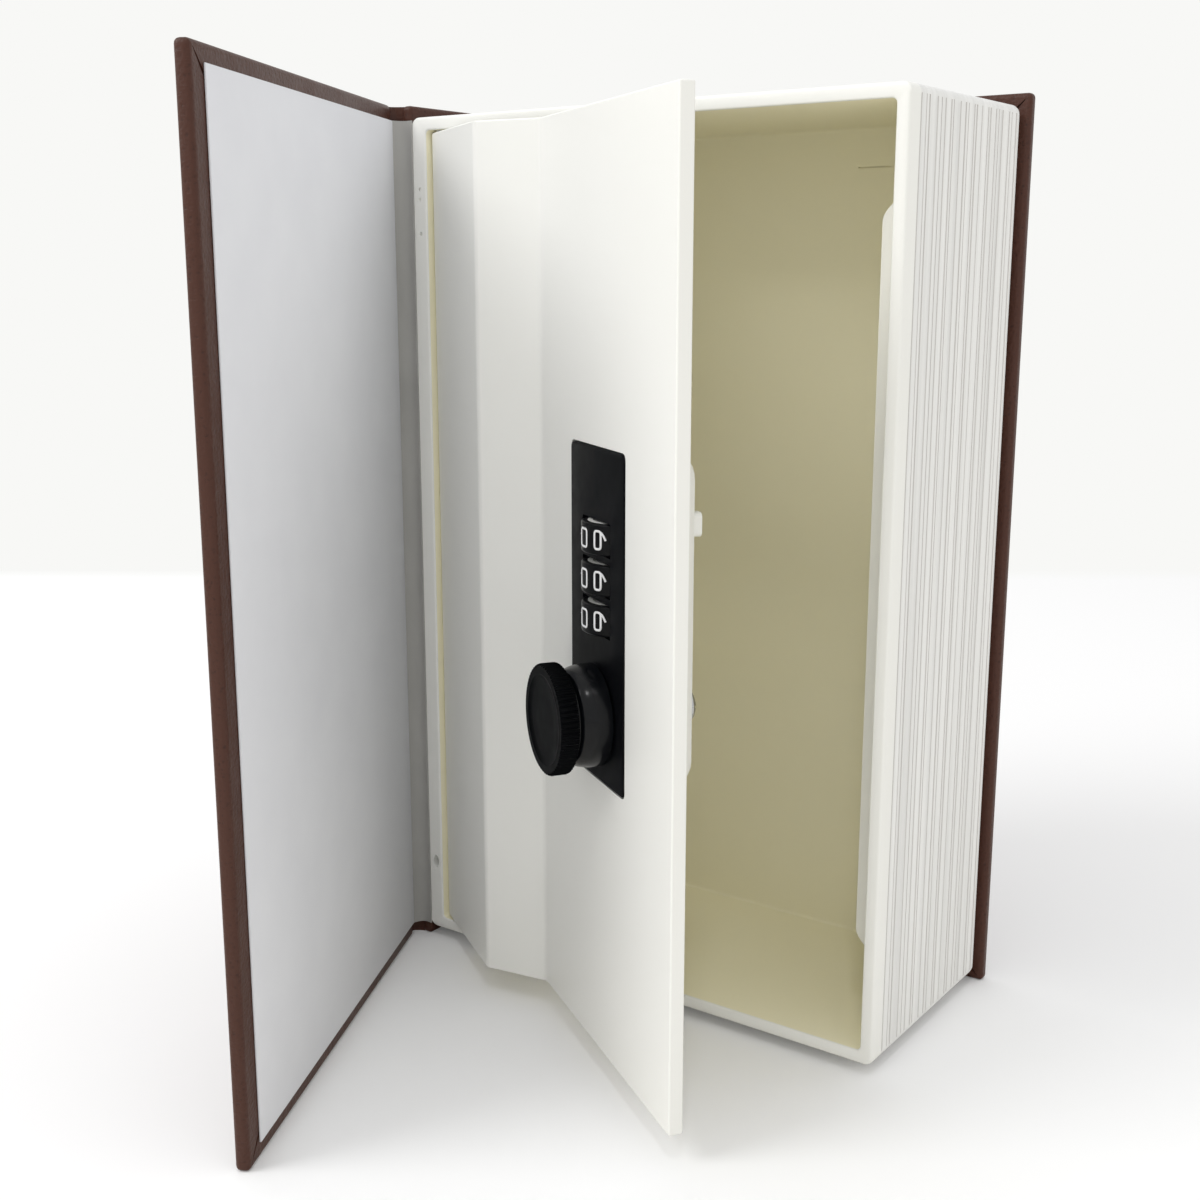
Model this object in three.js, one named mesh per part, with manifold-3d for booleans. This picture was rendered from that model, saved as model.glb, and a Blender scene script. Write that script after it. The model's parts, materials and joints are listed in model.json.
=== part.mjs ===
// Book diversion safe: a white moulded page block with a code-locked door, bound in a leatherette case.
// Millimetres, +Z up. X runs from the spine to the fore-edge, Y from the front cover to the back cover.
// The origin lies on the standing edge of the back cover, in line with the middle of the page block.
import * as THREE from "three";
import { mergeVertices } from "three/addons/utils/BufferGeometryUtils.js";
import Module from "manifold-3d";

const wasm = await Module();
wasm.setup();

// Page block
const blockWidth = 108.5;
const blockDepth = 50;
const blockHeight = 174;
const foreEdgeWall = 2.5;
const endWall = 2.6;
const backWall = 2.6;
const hingeStile = 3.6;
const cavityCornerRadius = 0.9;
const blockCornerRadius = 1.6;
const rimRadius = 0.9;
const backEdgeRadius = 3;
const plainRim = 3.2;
const pageLineCount = 22;
const pageLineDepth = 0.35;
const pageLineWidth = 0.7;

// Leatherette case
const caseThickness = 2.6;
const wrapThickness = 0.45;
const glueGap = 0.1;
const headOverhang = 2.4;
const foreEdgeOverhang = 1.2;
const backJointWidth = 8;
const frontJointWidth = 14.7;
const turnInWidth = 12;
const boardEdgeRadius = 0.7;
const spineGap = 0.3;
const spineSetBack = 0.2;
const coverGap = 0.8;
const endpaperMargin = 4.5;
const endpaperEndMargin = 3;
const endpaperThickness = 0.3;
const coverOpenAngle = 64;
const coverAxisX = 4.5;
const coverAxisY = 13;
const jointSeam = 0.3;

// Door and its pins
const doorThickness = 2.6;
const doorEndGap = 0.6;
const doorClearance = 0.5;
const doorOpenAngle = 33;
const barrelRadius = 1.6;
const barrelClearance = 0.3;
const hingeAxisDepth = 2.4;
const flatWidth = 28.3;
const slopeWidth = 10.4;
const panelRecess = 7.8;
const bendRadius = 2.5;
const doorEdgeRound = 0.3;
const pinRadius = 0.8;
const pinFit = 0.12;
const pinRunning = 0.2;
const pinReach = 6;
const pinSink = 0.2;

// Stop flange behind the closed door
const flangeWidth = 8;
const flangeThickness = 2.6;
const flangeBottom = 10.5;
const flangeTopMargin = 12;
const flangeSweep = 6;
const flangeSweepLength = 9.6;
const doorStopGap = 0.4;

// Code lock
const plateWidth = 25;
const plateHeight = 59;
const plateThickness = 1.4;
const plateProud = 0.2;
const plateGap = 0.25;
const plateCornerRadius = 1.2;
const ledgeWidth = 1.5;
const lockFromBend = 28.5;
const lockHeight = 85;
const dialRadius = 7;
const dialSpacing = 1.7;
const dialPitchShare = 0.12;
const dialShow = 2.5;
const dialGap = 0.25;
const topDialShare = 0.24;
const dialChamfer = 0.4;
const dialCount = 3;
const hubRadius = 4.3;
const hubGap = 0.2;
const gateDiscThickness = 0.8;
const gateWidth = 1.6;
const gateWall = 0.7;
const shaftRadius = 1.2;
const shaftRunning = 0.15;
const baseThickness = 3.4;
const baseInset = 0.3;
const wheelBackGap = 0.4;
const backCoverLip = 1.5;
const backCoverWall = 1.2;
const backCoverChamfer = 2.6;
const screwSpreadX = 7.2;
const screwRadius = 0.9;
const screwHeadRadius = 1.8;
const screwHeadThickness = 1;
const screwEndDistance = 5;
const lowScrewFromKnob = 4.7;

// Knob, spindle and cam
const knobDropShare = 0.3;
const knobRadius = 9.9;
const knobReach = 10;
const knobHeadThickness = 4;
const knobRibCount = 48;
const knobRibDepth = 0.3;
const knobNeckRadius = 6.25;
const knobSkirtRadius = 9.2;
const knobSkirtHeight = 1.3;
const knobDomeHeight = 2.5;
const knobDish = 0.5;
const knobRimWidth = 1.8;
const knobSeat = 0.2;
const knobBoreDepth = 4;
const spindleRadius = 3.2;
const spindleFit = 0.3;
const spindleSquare = 3.6;
const camThickness = 1.3;
const camWidth = 7;
const camReach = 29;
const camCrankStart = 20;
const camCrankEnd = 23;
const camCrankStep = 0.7;
const camFit = 0.15;
const camBackGap = 0.4;
const latchGap = 0.6;
const camScrewRadius = 3.2;
const camScrewHeight = 3.2;
const camScrewShank = 1.15;
const camScrewDepth = 4.2;

// Fence, springs and code lever
const fenceTravel = 1.2;
const fenceThickness = 1.4;
const fenceClear = 0.4;
const fenceSpringRoom = 3;
const springSeat = 0.3;
const collarGap = 0.3;
const leverWidth = 3;
const leverHeight = 4.3;
const leverTravel = 2.6;
const leverFoot = 0.3;
const leverSlotGap = 0.2;
const leverProud = 2.8;
const leverX = 7;
const leverDistance = 13;

const colours = {
  plastic: { color: 0xf2f2ee, roughness: 0.35, metalness: 0 },
  leatherette: { color: 0x4a2d26, roughness: 0.55, metalness: 0 },
  board: { color: 0xa79c8a, roughness: 0.9, metalness: 0 },
  paper: { color: 0xd8d8dc, roughness: 0.8, metalness: 0 },
  black: { color: 0x141518, roughness: 0.25, metalness: 0 },
  steel: { color: 0xb9bbbd, roughness: 0.3, metalness: 1 },
};
const radians = THREE.MathUtils.degToRad;

// A closed geometry becomes a solid that can be cut and joined.
function solid(geometry) {
  const bare = geometry.index ? geometry.toNonIndexed() : geometry;
  const points = new THREE.BufferGeometry();
  points.setAttribute("position", bare.getAttribute("position"));
  const merged = mergeVertices(points, 1e-4);
  const vertProperties = new Float32Array(merged.getAttribute("position").array);
  const triVerts = new Uint32Array(merged.index.array);
  return new wasm.Manifold(new wasm.Mesh({ numProp: 3, vertProperties, triVerts }));
}

function geometryOf(shape) {
  const mesh = shape.getMesh();
  const geometry = new THREE.BufferGeometry();
  geometry.setAttribute("position", new THREE.BufferAttribute(mesh.vertProperties, 3));
  geometry.setIndex(new THREE.BufferAttribute(mesh.triVerts, 1));
  const faceted = geometry.toNonIndexed();
  faceted.computeVertexNormals();
  return faceted;
}

function piece(name, shape, finish) {
  const geometry = shape.isBufferGeometry ? shape : geometryOf(shape);
  const mesh = new THREE.Mesh(geometry, new THREE.MeshStandardMaterial(colours[finish]));
  mesh.name = name;
  return mesh;
}

function block(x0, x1, y0, y1, z0, z1) {
  const geometry = new THREE.BoxGeometry(x1 - x0, y1 - y0, z1 - z0);
  return solid(geometry.translate((x0 + x1) / 2, (y0 + y1) / 2, (z0 + z1) / 2));
}

function polygon(points) {
  return new THREE.Shape(points.map(([x, y]) => new THREE.Vector2(x, y)));
}

// A plan outline in X and Y raised from z0 to z1.
function raise(shape, z0, z1, curveSegments = 4) {
  const geometry = new THREE.ExtrudeGeometry(shape, { depth: z1 - z0, bevelEnabled: false, curveSegments });
  return solid(geometry.translate(0, 0, z0));
}

// An upright outline in X and Z pushed back from y0 to y1.
function push(shape, y0, y1, curveSegments = 4) {
  const geometry = new THREE.ExtrudeGeometry(shape, { depth: y1 - y0, bevelEnabled: false, curveSegments });
  return solid(geometry.rotateX(Math.PI / 2).translate(0, y1, 0));
}

function roundedRectangle(x0, x1, y0, y1, radius) {
  const shape = new THREE.Shape();
  shape.moveTo(x0 + radius, y0);
  shape.lineTo(x1 - radius, y0);
  shape.absarc(x1 - radius, y0 + radius, radius, -Math.PI / 2, 0);
  shape.lineTo(x1, y1 - radius);
  shape.absarc(x1 - radius, y1 - radius, radius, 0, Math.PI / 2);
  shape.lineTo(x0 + radius, y1);
  shape.absarc(x0 + radius, y1 - radius, radius, Math.PI / 2, Math.PI);
  shape.lineTo(x0, y0 + radius);
  shape.absarc(x0 + radius, y0 + radius, radius, Math.PI, Math.PI * 1.5);
  return shape;
}

// A round bar along Z, or along Y with its middle on the line x, z.
function barZ(x, y, z0, z1, radius, sides = 20) {
  const geometry = new THREE.CylinderGeometry(radius, radius, z1 - z0, sides);
  return solid(geometry.rotateX(Math.PI / 2).translate(x, y, (z0 + z1) / 2));
}

function barY(x, z, y0, y1, radius, sides = 20) {
  const geometry = new THREE.CylinderGeometry(radius, radius, y1 - y0, sides);
  return solid(geometry.translate(x, (y0 + y1) / 2, z));
}

function turned(profile, segments) {
  const points = profile.map(([radius, along]) => new THREE.Vector2(radius, along));
  return solid(new THREE.LatheGeometry(points, segments));
}

// Rings with the same number of points, joined side by side and capped at both ends.
function loft(rings) {
  const count = rings[0].length;
  const positions = rings.flat().flatMap((point) => point);
  const index = [];
  for (let level = 0; level < rings.length - 1; level++) {
    for (let i = 0; i < count; i++) {
      const a = level * count + i;
      const b = level * count + ((i + 1) % count);
      index.push(a, b, b + count, a, b + count, a + count);
    }
  }
  const last = (rings.length - 1) * count;
  for (let i = 1; i < count - 1; i++) {
    index.push(0, i + 1, i, last, last + i, last + i + 1);
  }
  const geometry = new THREE.BufferGeometry();
  geometry.setAttribute("position", new THREE.Float32BufferAttribute(positions, 3));
  geometry.setIndex(index);
  return solid(geometry);
}

// A rounded upright rectangle at one depth, as a ring of points in X, Y and Z.
function ring(x0, x1, z0, z1, radius, y, steps = 3) {
  const corners = [
    [x0 + radius, z0 + radius, Math.PI * 1.5],
    [x0 + radius, z1 - radius, Math.PI],
    [x1 - radius, z1 - radius, Math.PI / 2],
    [x1 - radius, z0 + radius, 0],
  ];
  return corners.flatMap(([x, z, start]) =>
    Array.from({ length: steps + 1 }, (_, i) => {
      const angle = start - (Math.PI / 2) * (i / steps);
      return [x + radius * Math.cos(angle), y, z + radius * Math.sin(angle)];
    }),
  );
}

// Heights from the table: the case stands on its edges and the page block hangs inside it.
const caseHeight = blockHeight + 2 * headOverhang;
const blockBottom = headOverhang;
const blockTop = blockBottom + blockHeight;
const openingBottom = blockBottom + endWall;
const openingTop = blockTop - endWall;
const openingRight = blockWidth - foreEdgeWall;

// Closed door: the hinge axis, the bends of its outer face and its free end.
const hingeX = hingeStile + barrelClearance + barrelRadius;
const hingeY = hingeAxisDepth;
const flatFace = hingeY - barrelRadius;
const flatEnd = hingeX + flatWidth;
const panelStart = flatEnd + slopeWidth;
const panelFace = hingeY + panelRecess;
const doorEnd = openingRight - doorEndGap;
const doorBottom = openingBottom + doorClearance;
const doorTop = openingTop - doorClearance;
const flangeFront = panelFace + doorThickness + doorStopGap;

// Lock frame: its origin is the middle of the plate on the outer face of the panel.
const lockX = panelStart + lockFromBend;
const lockY = panelFace;
const lockZ = blockBottom + lockHeight;
const dialAxisDepth = dialRadius - dialShow;
const dialPitch = plateHeight * dialPitchShare;
const dialHeight = dialPitch - dialSpacing;
const topDialRise = plateHeight * topDialShare;
const dialRises = Array.from({ length: dialCount }, (_, i) => topDialRise - i * dialPitch);
const lowestDialRise = dialRises[dialCount - 1];
const baseFront = doorThickness + dialGap;
const baseBack = baseFront + baseThickness;
const coverBack = dialAxisDepth + dialRadius + wheelBackGap + backCoverWall;
const baseHalfWidth = plateWidth / 2 + backCoverLip - backCoverWall - baseInset;
const baseHalfHeight = plateHeight / 2 + backCoverLip / 2 - backCoverWall - baseInset;
const knobDrop = plateHeight * knobDropShare;
const leverRise = plateHeight / 2 - leverDistance;
const screwRises = [plateHeight / 2 - screwEndDistance, -knobDrop - lowScrewFromKnob];

// Page lines: even spacing with a repeatable wander, so that they look like gathered sheets.
function pageLines() {
  const first = plainRim;
  const span = blockDepth - backEdgeRadius - first;
  return Array.from({ length: pageLineCount }, (_, i) => {
    const wander = 0.32 * Math.sin(i * 2.4) + 0.2 * Math.sin(i * 5.1);
    const depth = pageLineDepth * (0.65 + 0.35 * Math.sin(i * 3.7));
    return { y: first + (span * (i + 0.5 + wander * 0.8)) / pageLineCount, depth };
  });
}

// How far the page sides lie inside the block's outline, from the front rim to the back edge.
function pageProfile() {
  const profile = [[0, rimRadius * 0.6], [rimRadius * 0.35, rimRadius * 0.15], [rimRadius, 0]];
  for (const { y, depth } of pageLines()) {
    profile.push([y - pageLineWidth / 2, 0], [y, depth], [y + pageLineWidth / 2, 0]);
  }
  for (const angle of [0, 30, 60, 90]) {
    const along = blockDepth - backEdgeRadius + backEdgeRadius * Math.sin(radians(angle));
    profile.push([along, backEdgeRadius * (1 - Math.cos(radians(angle)))]);
  }
  return profile;
}

function pageBlock() {
  const rings = pageProfile().map(([y, inset]) =>
    ring(0, blockWidth - inset, blockBottom + inset, blockTop - inset, blockCornerRadius, y),
  );
  const cavityBack = blockDepth - backWall;
  const mouth = roundedRectangle(hingeStile, openingRight, openingBottom, openingTop, cavityCornerRadius);
  const cavity = push(mouth, -1, cavityBack);
  let shell = loft(rings).subtract(cavity).add(stopFlange());
  for (const [z0, z1] of [[0, openingBottom + 1], [openingTop - 1, caseHeight]]) {
    shell = shell.subtract(barZ(hingeX, hingeY, z0, z1, pinRadius + pinFit, 16));
  }
  return shell;
}

// The cam catches behind this flange and the closed door rests on its front.
function stopFlange() {
  const inner = openingRight - flangeWidth;
  const outer = openingRight + foreEdgeWall / 2;
  const low = blockBottom + flangeBottom;
  const high = blockTop - flangeTopMargin;
  const waist = openingRight - 1;
  const half = flangeSweep / 2;
  const shape = new THREE.Shape();
  shape.moveTo(outer, low);
  shape.lineTo(openingRight, low);
  shape.bezierCurveTo(waist, low + flangeSweep, inner, low + half, inner, low + flangeSweepLength);
  shape.lineTo(inner, high - flangeSweepLength);
  shape.bezierCurveTo(inner, high - half, waist, high - flangeSweep, openingRight, high);
  shape.lineTo(outer, high);
  return push(shape, flangeFront, flangeFront + flangeThickness, 5);
}

function hingePin(z0, z1) {
  return barZ(hingeX, hingeY, z0, z1, pinRadius, 16);
}

// A board's leatherette: one sheet round the outside and the edges, turned in on the inner side.
function boardWrap(x0, x1, inner, outer, turnInAtStart) {
  const low = Math.min(inner, outer);
  const high = Math.max(inner, outer);
  const skin = raise(roundedRectangle(x0, x1, low, high, boardEdgeRadius), 0, caseHeight, 3);
  const pocket = block(
    x0 + wrapThickness, x1 - wrapThickness, low + wrapThickness, high - wrapThickness,
    wrapThickness, caseHeight - wrapThickness);
  const windowStart = turnInAtStart ? x0 + turnInWidth : x0 - 1;
  const skinDepth = wrapThickness + glueGap;
  const innerSide = inner < outer ? [low - 1, low + skinDepth] : [high - skinDepth, high + 1];
  const window = block(
    windowStart, x1 - turnInWidth, innerSide[0], innerSide[1], turnInWidth, caseHeight - turnInWidth);
  return skin.subtract(pocket).subtract(window);
}

function boardCore(x0, x1, inner, outer) {
  const inset = wrapThickness + glueGap;
  return block(
    x0 + inset, x1 - inset, Math.min(inner, outer) + inset, Math.max(inner, outer) - inset,
    inset, caseHeight - inset);
}

const foreEdgeX = blockWidth + foreEdgeOverhang;
const backInner = blockDepth + glueGap;
const backOuter = backInner + caseThickness;
const spineInnerX = -spineGap;
const spineOuterX = spineInnerX - caseThickness;

// Back board, sunk joint and spine are one sheet of leatherette.
function caseWrap() {
  const back = boardWrap(backJointWidth, foreEdgeX, backInner, backOuter, true);
  const joint = block(
    spineInnerX - wrapThickness, backJointWidth + wrapThickness, backInner, backInner + wrapThickness,
    0, caseHeight);
  const spineShape = roundedRectangle(spineOuterX, spineInnerX, spineSetBack, backOuter, boardEdgeRadius);
  const spinePocket = block(
    spineOuterX + wrapThickness, spineInnerX - wrapThickness, spineSetBack + wrapThickness,
    backOuter - wrapThickness, wrapThickness, caseHeight - wrapThickness);
  const spineWindow = block(
    spineInnerX - wrapThickness - glueGap, 0, spineSetBack + turnInWidth, backInner - turnInWidth,
    turnInWidth, caseHeight - turnInWidth);
  const spine = raise(spineShape, 0, caseHeight, 3).subtract(spinePocket).subtract(spineWindow);
  return back.add(joint).add(spine);
}

function spineCore() {
  const inset = wrapThickness + glueGap;
  return block(
    spineOuterX + inset, spineInnerX - inset, spineSetBack + inset, backOuter - inset,
    inset, caseHeight - inset);
}

const frontStart = frontJointWidth;
const frontInner = -coverGap;
const frontOuter = frontInner - caseThickness;

// Where a point of the closed cover lies when the cover stands open.
function openCoverPoint(x, y) {
  const turn = -radians(coverOpenAngle);
  const point = new THREE.Vector2(x - coverAxisX, y - coverAxisY).rotateAround(new THREE.Vector2(), turn);
  return [point.x + coverAxisX, point.y + coverAxisY];
}

// A sheet of even thickness along a plan curve.
function sheetAlong(curve, thickness, z0, z1, steps = 6) {
  const middle = curve.getSpacedPoints(steps);
  const left = [];
  const right = [];
  middle.forEach((point, i) => {
    const tangent = curve.getTangentAt(i / steps);
    left.push([point.x - (tangent.y * thickness) / 2, point.y + (tangent.x * thickness) / 2]);
    right.unshift([point.x + (tangent.y * thickness) / 2, point.y - (tangent.x * thickness) / 2]);
  });
  return raise(polygon([...left, ...right]), z0, z1);
}

// The leatherette joint is bunched beside the spine while the cover stands open.
function jointCloth() {
  const half = wrapThickness / 2;
  const [endX, endY] = openCoverPoint(frontStart - jointSeam, frontOuter + half + boardEdgeRadius / 2);
  const startX = spineOuterX + half + boardEdgeRadius / 2;
  const startY = spineSetBack - jointSeam;
  const start = new THREE.Vector2(startX, startY);
  const end = new THREE.Vector2(endX, endY);
  const bulge = start.clone().add(end).divideScalar(2);
  bulge.x -= caseThickness / 2;
  bulge.y += caseThickness / 3;
  return sheetAlong(new THREE.QuadraticBezierCurve(start, bulge, end), wrapThickness, 0, caseHeight);
}

// The endpaper bridges the joint from the cover to the front corner of the block.
function jointPaper() {
  const half = endpaperThickness / 2;
  const [endX, endY] = openCoverPoint(frontStart - jointSeam, frontInner + glueGap + half);
  const start = new THREE.Vector2(-glueGap, -half - glueGap);
  const curve = new THREE.LineCurve(start, new THREE.Vector2(endX, endY));
  return sheetAlong(curve, endpaperThickness, endpaperEndMargin, caseHeight - endpaperEndMargin, 2);
}

function frontEndpaper() {
  const face = frontInner + glueGap;
  return block(
    frontStart, foreEdgeX - endpaperMargin, face, face + endpaperThickness,
    endpaperEndMargin, caseHeight - endpaperEndMargin);
}

// The door's plan: a hinge barrel, a flat beside it, a slope and the sunk panel, with soft bends.
function doorOutline() {
  const inward = doorThickness;
  const slopeTurn = Math.atan2(panelRecess + barrelRadius, slopeWidth);
  const shift = inward * Math.tan(slopeTurn / 2);
  const outer = [[flatEnd, flatFace], [panelStart, panelFace]];
  const inner = [[panelStart - shift, panelFace + inward], [flatEnd - shift, flatFace + inward]];
  const reach = bendRadius / 2;
  const along = new THREE.Vector2(slopeWidth, panelFace - flatFace).setLength(reach);
  const shape = new THREE.Shape();
  const bend = ([x, y], fromX, fromY, toX, toY) => {
    shape.lineTo(x - fromX, y - fromY);
    shape.quadraticCurveTo(x, y, x + toX, y + toY);
  };
  shape.moveTo(hingeX, flatFace);
  bend(outer[0], reach, 0, along.x, along.y);
  bend(outer[1], along.x, along.y, reach, 0);
  shape.lineTo(doorEnd - doorEdgeRound, panelFace);
  shape.lineTo(doorEnd, panelFace + doorEdgeRound);
  shape.lineTo(doorEnd, panelFace + inward);
  bend(inner[0], -reach, 0, -along.x, -along.y);
  bend(inner[1], -along.x, -along.y, -reach, 0);
  shape.lineTo(hingeX + barrelRadius, flatFace + inward);
  shape.absarc(hingeX, hingeY, barrelRadius, radians(30), radians(270));
  return shape;
}

function doorPanel() {
  let door = raise(doorOutline(), doorBottom, doorTop, 4);
  for (const [z0, z1] of [[doorBottom - 1, doorBottom + pinReach], [doorTop - pinReach, doorTop + 1]]) {
    door = door.subtract(barZ(hingeX, hingeY, z0, z1, pinRadius + pinRunning, 16));
  }
  const halfWidth = plateWidth / 2 + plateGap;
  const halfHeight = plateHeight / 2 + plateGap;
  const seat = roundedRectangle(
    lockX - halfWidth, lockX + halfWidth, lockZ - halfHeight, lockZ + halfHeight, plateCornerRadius);
  const through = roundedRectangle(
    lockX - halfWidth + ledgeWidth, lockX + halfWidth - ledgeWidth,
    lockZ - halfHeight + ledgeWidth, lockZ + halfHeight - ledgeWidth, plateCornerRadius);
  const seatDepth = plateThickness - plateProud + glueGap;
  return door
    .subtract(push(seat, panelFace - 1, panelFace + seatDepth))
    .subtract(push(through, panelFace, panelFace + doorThickness + 1));
}

const windowHalfWidth = Math.sqrt(dialRadius ** 2 - (dialAxisDepth - plateThickness) ** 2) + dialGap;
const wheelBay = dialRadius + 2 * dialGap;
const gateMiddle = dialPitch / 2;
const gateDiscRadius = dialAxisDepth - (plateThickness - plateProud) - dialGap;
const bayBottom = lowestDialRise - gateMiddle - gateDiscThickness;
const bayTop = topDialRise + dialHeight / 2 + 2 * dialGap;
const detentBay = 1.6;

function faceplate() {
  const halfWidth = plateWidth / 2;
  const halfHeight = plateHeight / 2;
  const front = roundedRectangle(-halfWidth, halfWidth, -halfHeight, halfHeight, plateCornerRadius);
  const inset = ledgeWidth + plateGap;
  const rear = roundedRectangle(
    -halfWidth + inset, halfWidth - inset, -halfHeight + inset, halfHeight - inset, plateCornerRadius);
  let plate = push(front, -plateProud, plateThickness - plateProud)
    .add(push(rear, plateThickness - plateProud - 0.1, doorThickness));
  for (const rise of dialRises) {
    const half = dialHeight / 2 + dialGap;
    const slot = block(
      -windowHalfWidth, windowHalfWidth, -1, doorThickness + 1, rise - half, rise + half);
    plate = plate.subtract(slot);
  }
  plate = plate.subtract(block(
    -wheelBay, wheelBay, plateThickness - plateProud, doorThickness + 1, bayBottom, bayTop));
  plate = plate.subtract(barY(0, -knobDrop, -1, doorThickness + 1, spindleRadius + spindleFit, 24));
  return plate;
}

// Dials turn on a steel shaft: a number ring outside, a hub with its gate disc inside.
function dialWheel() {
  const half = dialHeight / 2;
  const bore = hubRadius + hubGap;
  const profile = [
    [bore, -half], [dialRadius - dialChamfer, -half], [dialRadius, -half + dialChamfer],
    [dialRadius, half - dialChamfer], [dialRadius - dialChamfer, half], [bore, half], [bore, -half],
  ];
  const points = profile.map(([radius, along]) => new THREE.Vector2(radius, along));
  return solid(new THREE.LatheGeometry(points, 40).rotateX(Math.PI / 2));
}

function codeHub() {
  const half = dialHeight / 2;
  const disc = barZ(0, 0, -gateMiddle - gateDiscThickness / 2, 0, gateDiscRadius, 24);
  const body = barZ(0, 0, -half, half, hubRadius, 24);
  const gate = block(
    shaftRadius + gateWall, gateDiscRadius + 1, -gateWidth / 2, gateWidth / 2, -gateMiddle - 1, -half);
  const bore = barZ(0, 0, -gateMiddle - 1, half + 1, shaftRadius + shaftRunning, 16);
  return body.add(disc).subtract(gate).subtract(bore);
}

const shaftBottom = lowestDialRise - dialPitch / 2 - gateDiscThickness - 2.2;
const shaftTop = topDialRise + dialHeight / 2 + 2.6;

function dialShaft() {
  return barZ(0, dialAxisDepth, shaftBottom, shaftTop, shaftRadius, 16);
}

const collarShort = spindleRadius + 0.2;
const collarLong = collarShort + fenceTravel;
const fingerX = -collarLong - collarGap;
const fenceX = dialRadius + fenceClear;
const fenceOuterX = fenceX + fenceThickness;
const fenceTop = topDialRise;
const armTop = -knobDrop + collarLong + collarGap + fenceThickness;
const fingerBottom = -knobDrop - fenceThickness / 2;
const toothTip = gateDiscRadius + fenceClear;
const fenceFront = baseFront + 1;
const fenceBack = baseBack - 0.2;

// The lock base carries the shaft in an open groove and the four screw posts.
function lockBase() {
  const outline = roundedRectangle(-baseHalfWidth, baseHalfWidth, -baseHalfHeight, baseHalfHeight, 2);
  let base = push(outline, baseFront, baseBack);
  base = base.subtract(block(-wheelBay - detentBay, wheelBay, 0, baseBack + 1, bayBottom, bayTop));
  const groove = shaftRadius + shaftRunning;
  for (const [z0, z1] of [[shaftBottom - 0.3, bayBottom + 1], [bayTop - 1, shaftTop + 0.3]]) {
    base = base.subtract(barZ(0, dialAxisDepth, z0, z1, groove, 16));
    base = base.subtract(block(-groove, groove, 0, dialAxisDepth, z0, z1));
  }
  base = base.subtract(barY(0, -knobDrop, 0, baseBack + 1, collarLong + collarGap, 24));
  const fenceBay = [fenceFront - fenceClear, baseBack + 1];
  base = base.subtract(block(
    fenceX - fenceClear, fenceOuterX + fenceTravel + fenceClear, ...fenceBay,
    armTop - fenceThickness - fenceClear, fenceTop + fenceClear));
  base = base.subtract(block(
    fingerX - fenceThickness - fenceSpringRoom, fenceX, ...fenceBay,
    fingerBottom - fenceClear, armTop + fenceClear));
  for (const rise of screwRises) {
    for (const side of [-1, 1]) {
      const x = side * screwSpreadX;
      const post = barY(x, rise, baseFront, coverBack - backCoverWall - 0.3, screwHeadRadius + 0.4, 16);
      base = base.add(post).subtract(barY(x, rise, 0, coverBack, screwRadius + 0.15, 12));
    }
  }
  return base;
}

// The fence has a tooth for each gate disc and a finger that the spindle's oval collar pushes.
function lockingFence() {
  const depths = [fenceFront, fenceBack];
  let fence = block(fenceX, fenceOuterX, ...depths, armTop - fenceThickness, fenceTop)
    .add(block(fingerX - fenceThickness, fenceOuterX, ...depths, armTop - fenceThickness, armTop))
    .add(block(fingerX - fenceThickness, fingerX, ...depths, fingerBottom, armTop));
  const toothHalf = gateDiscThickness / 2;
  for (const rise of dialRises) {
    const z = rise - gateMiddle;
    fence = fence.add(block(
      toothTip, fenceX + fenceThickness / 2, fenceFront, dialAxisDepth + gateWidth / 2 - fenceClear,
      z - toothHalf, z + toothHalf));
  }
  return fence;
}

// A small coil between the chassis and the finger draws the fence off the discs.
function fenceSpring() {
  const turns = 3;
  const coilRadius = 0.95;
  const wireRadius = 0.18;
  const startX = fingerX - fenceThickness - fenceSpringRoom + wireRadius + springSeat;
  const length = fenceSpringRoom - 2 * wireRadius - 2 * springSeat;
  const steps = turns * 8;
  const middleY = (fenceFront + fenceBack) / 2;
  const middleZ = (armTop - fenceThickness + fingerBottom) / 2;
  class Coil extends THREE.Curve {
    getPoint(t) {
      const angle = t * turns * Math.PI * 2;
      const y = middleY + coilRadius * Math.cos(angle);
      const z = middleZ + coilRadius * Math.sin(angle);
      return new THREE.Vector3(startX + t * length, y, z);
    }
  }
  const section = new THREE.Shape(
    Array.from({ length: 5 }, (_, i) => {
      const angle = (i / 5) * Math.PI * 2;
      return new THREE.Vector2(wireRadius * Math.cos(angle), wireRadius * Math.sin(angle));
    }));
  return solid(new THREE.ExtrudeGeometry(section, { steps, extrudePath: new Coil(), bevelEnabled: false }));
}

// A steel leaf with one bump for each dial gives the dials their clicks.
function detentSpring() {
  const outer = -wheelBay - detentBay + 0.2;
  const leaf = 0.35;
  const bump = 0.9;
  const shape = new THREE.Shape();
  shape.moveTo(outer, bayBottom + 0.3);
  shape.lineTo(outer, bayTop - 0.3);
  shape.lineTo(outer + leaf, bayTop - 0.3);
  for (const rise of dialRises) {
    shape.lineTo(outer + leaf, rise + 1.6);
    shape.quadraticCurveTo(outer + leaf + bump * 2, rise, outer + leaf, rise - 1.6);
  }
  shape.lineTo(outer + leaf, bayBottom + 0.3);
  return push(shape, dialAxisDepth - 1, dialAxisDepth + 1, 3);
}

function coverRing(inset, chamferInset, y) {
  const halfWidth = plateWidth / 2 + backCoverLip - inset - chamferInset;
  const halfHeight = plateHeight / 2 + backCoverLip / 2 - inset - chamferInset;
  return ring(-halfWidth, halfWidth, -halfHeight, halfHeight, 3 - inset, y, 4);
}

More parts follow.
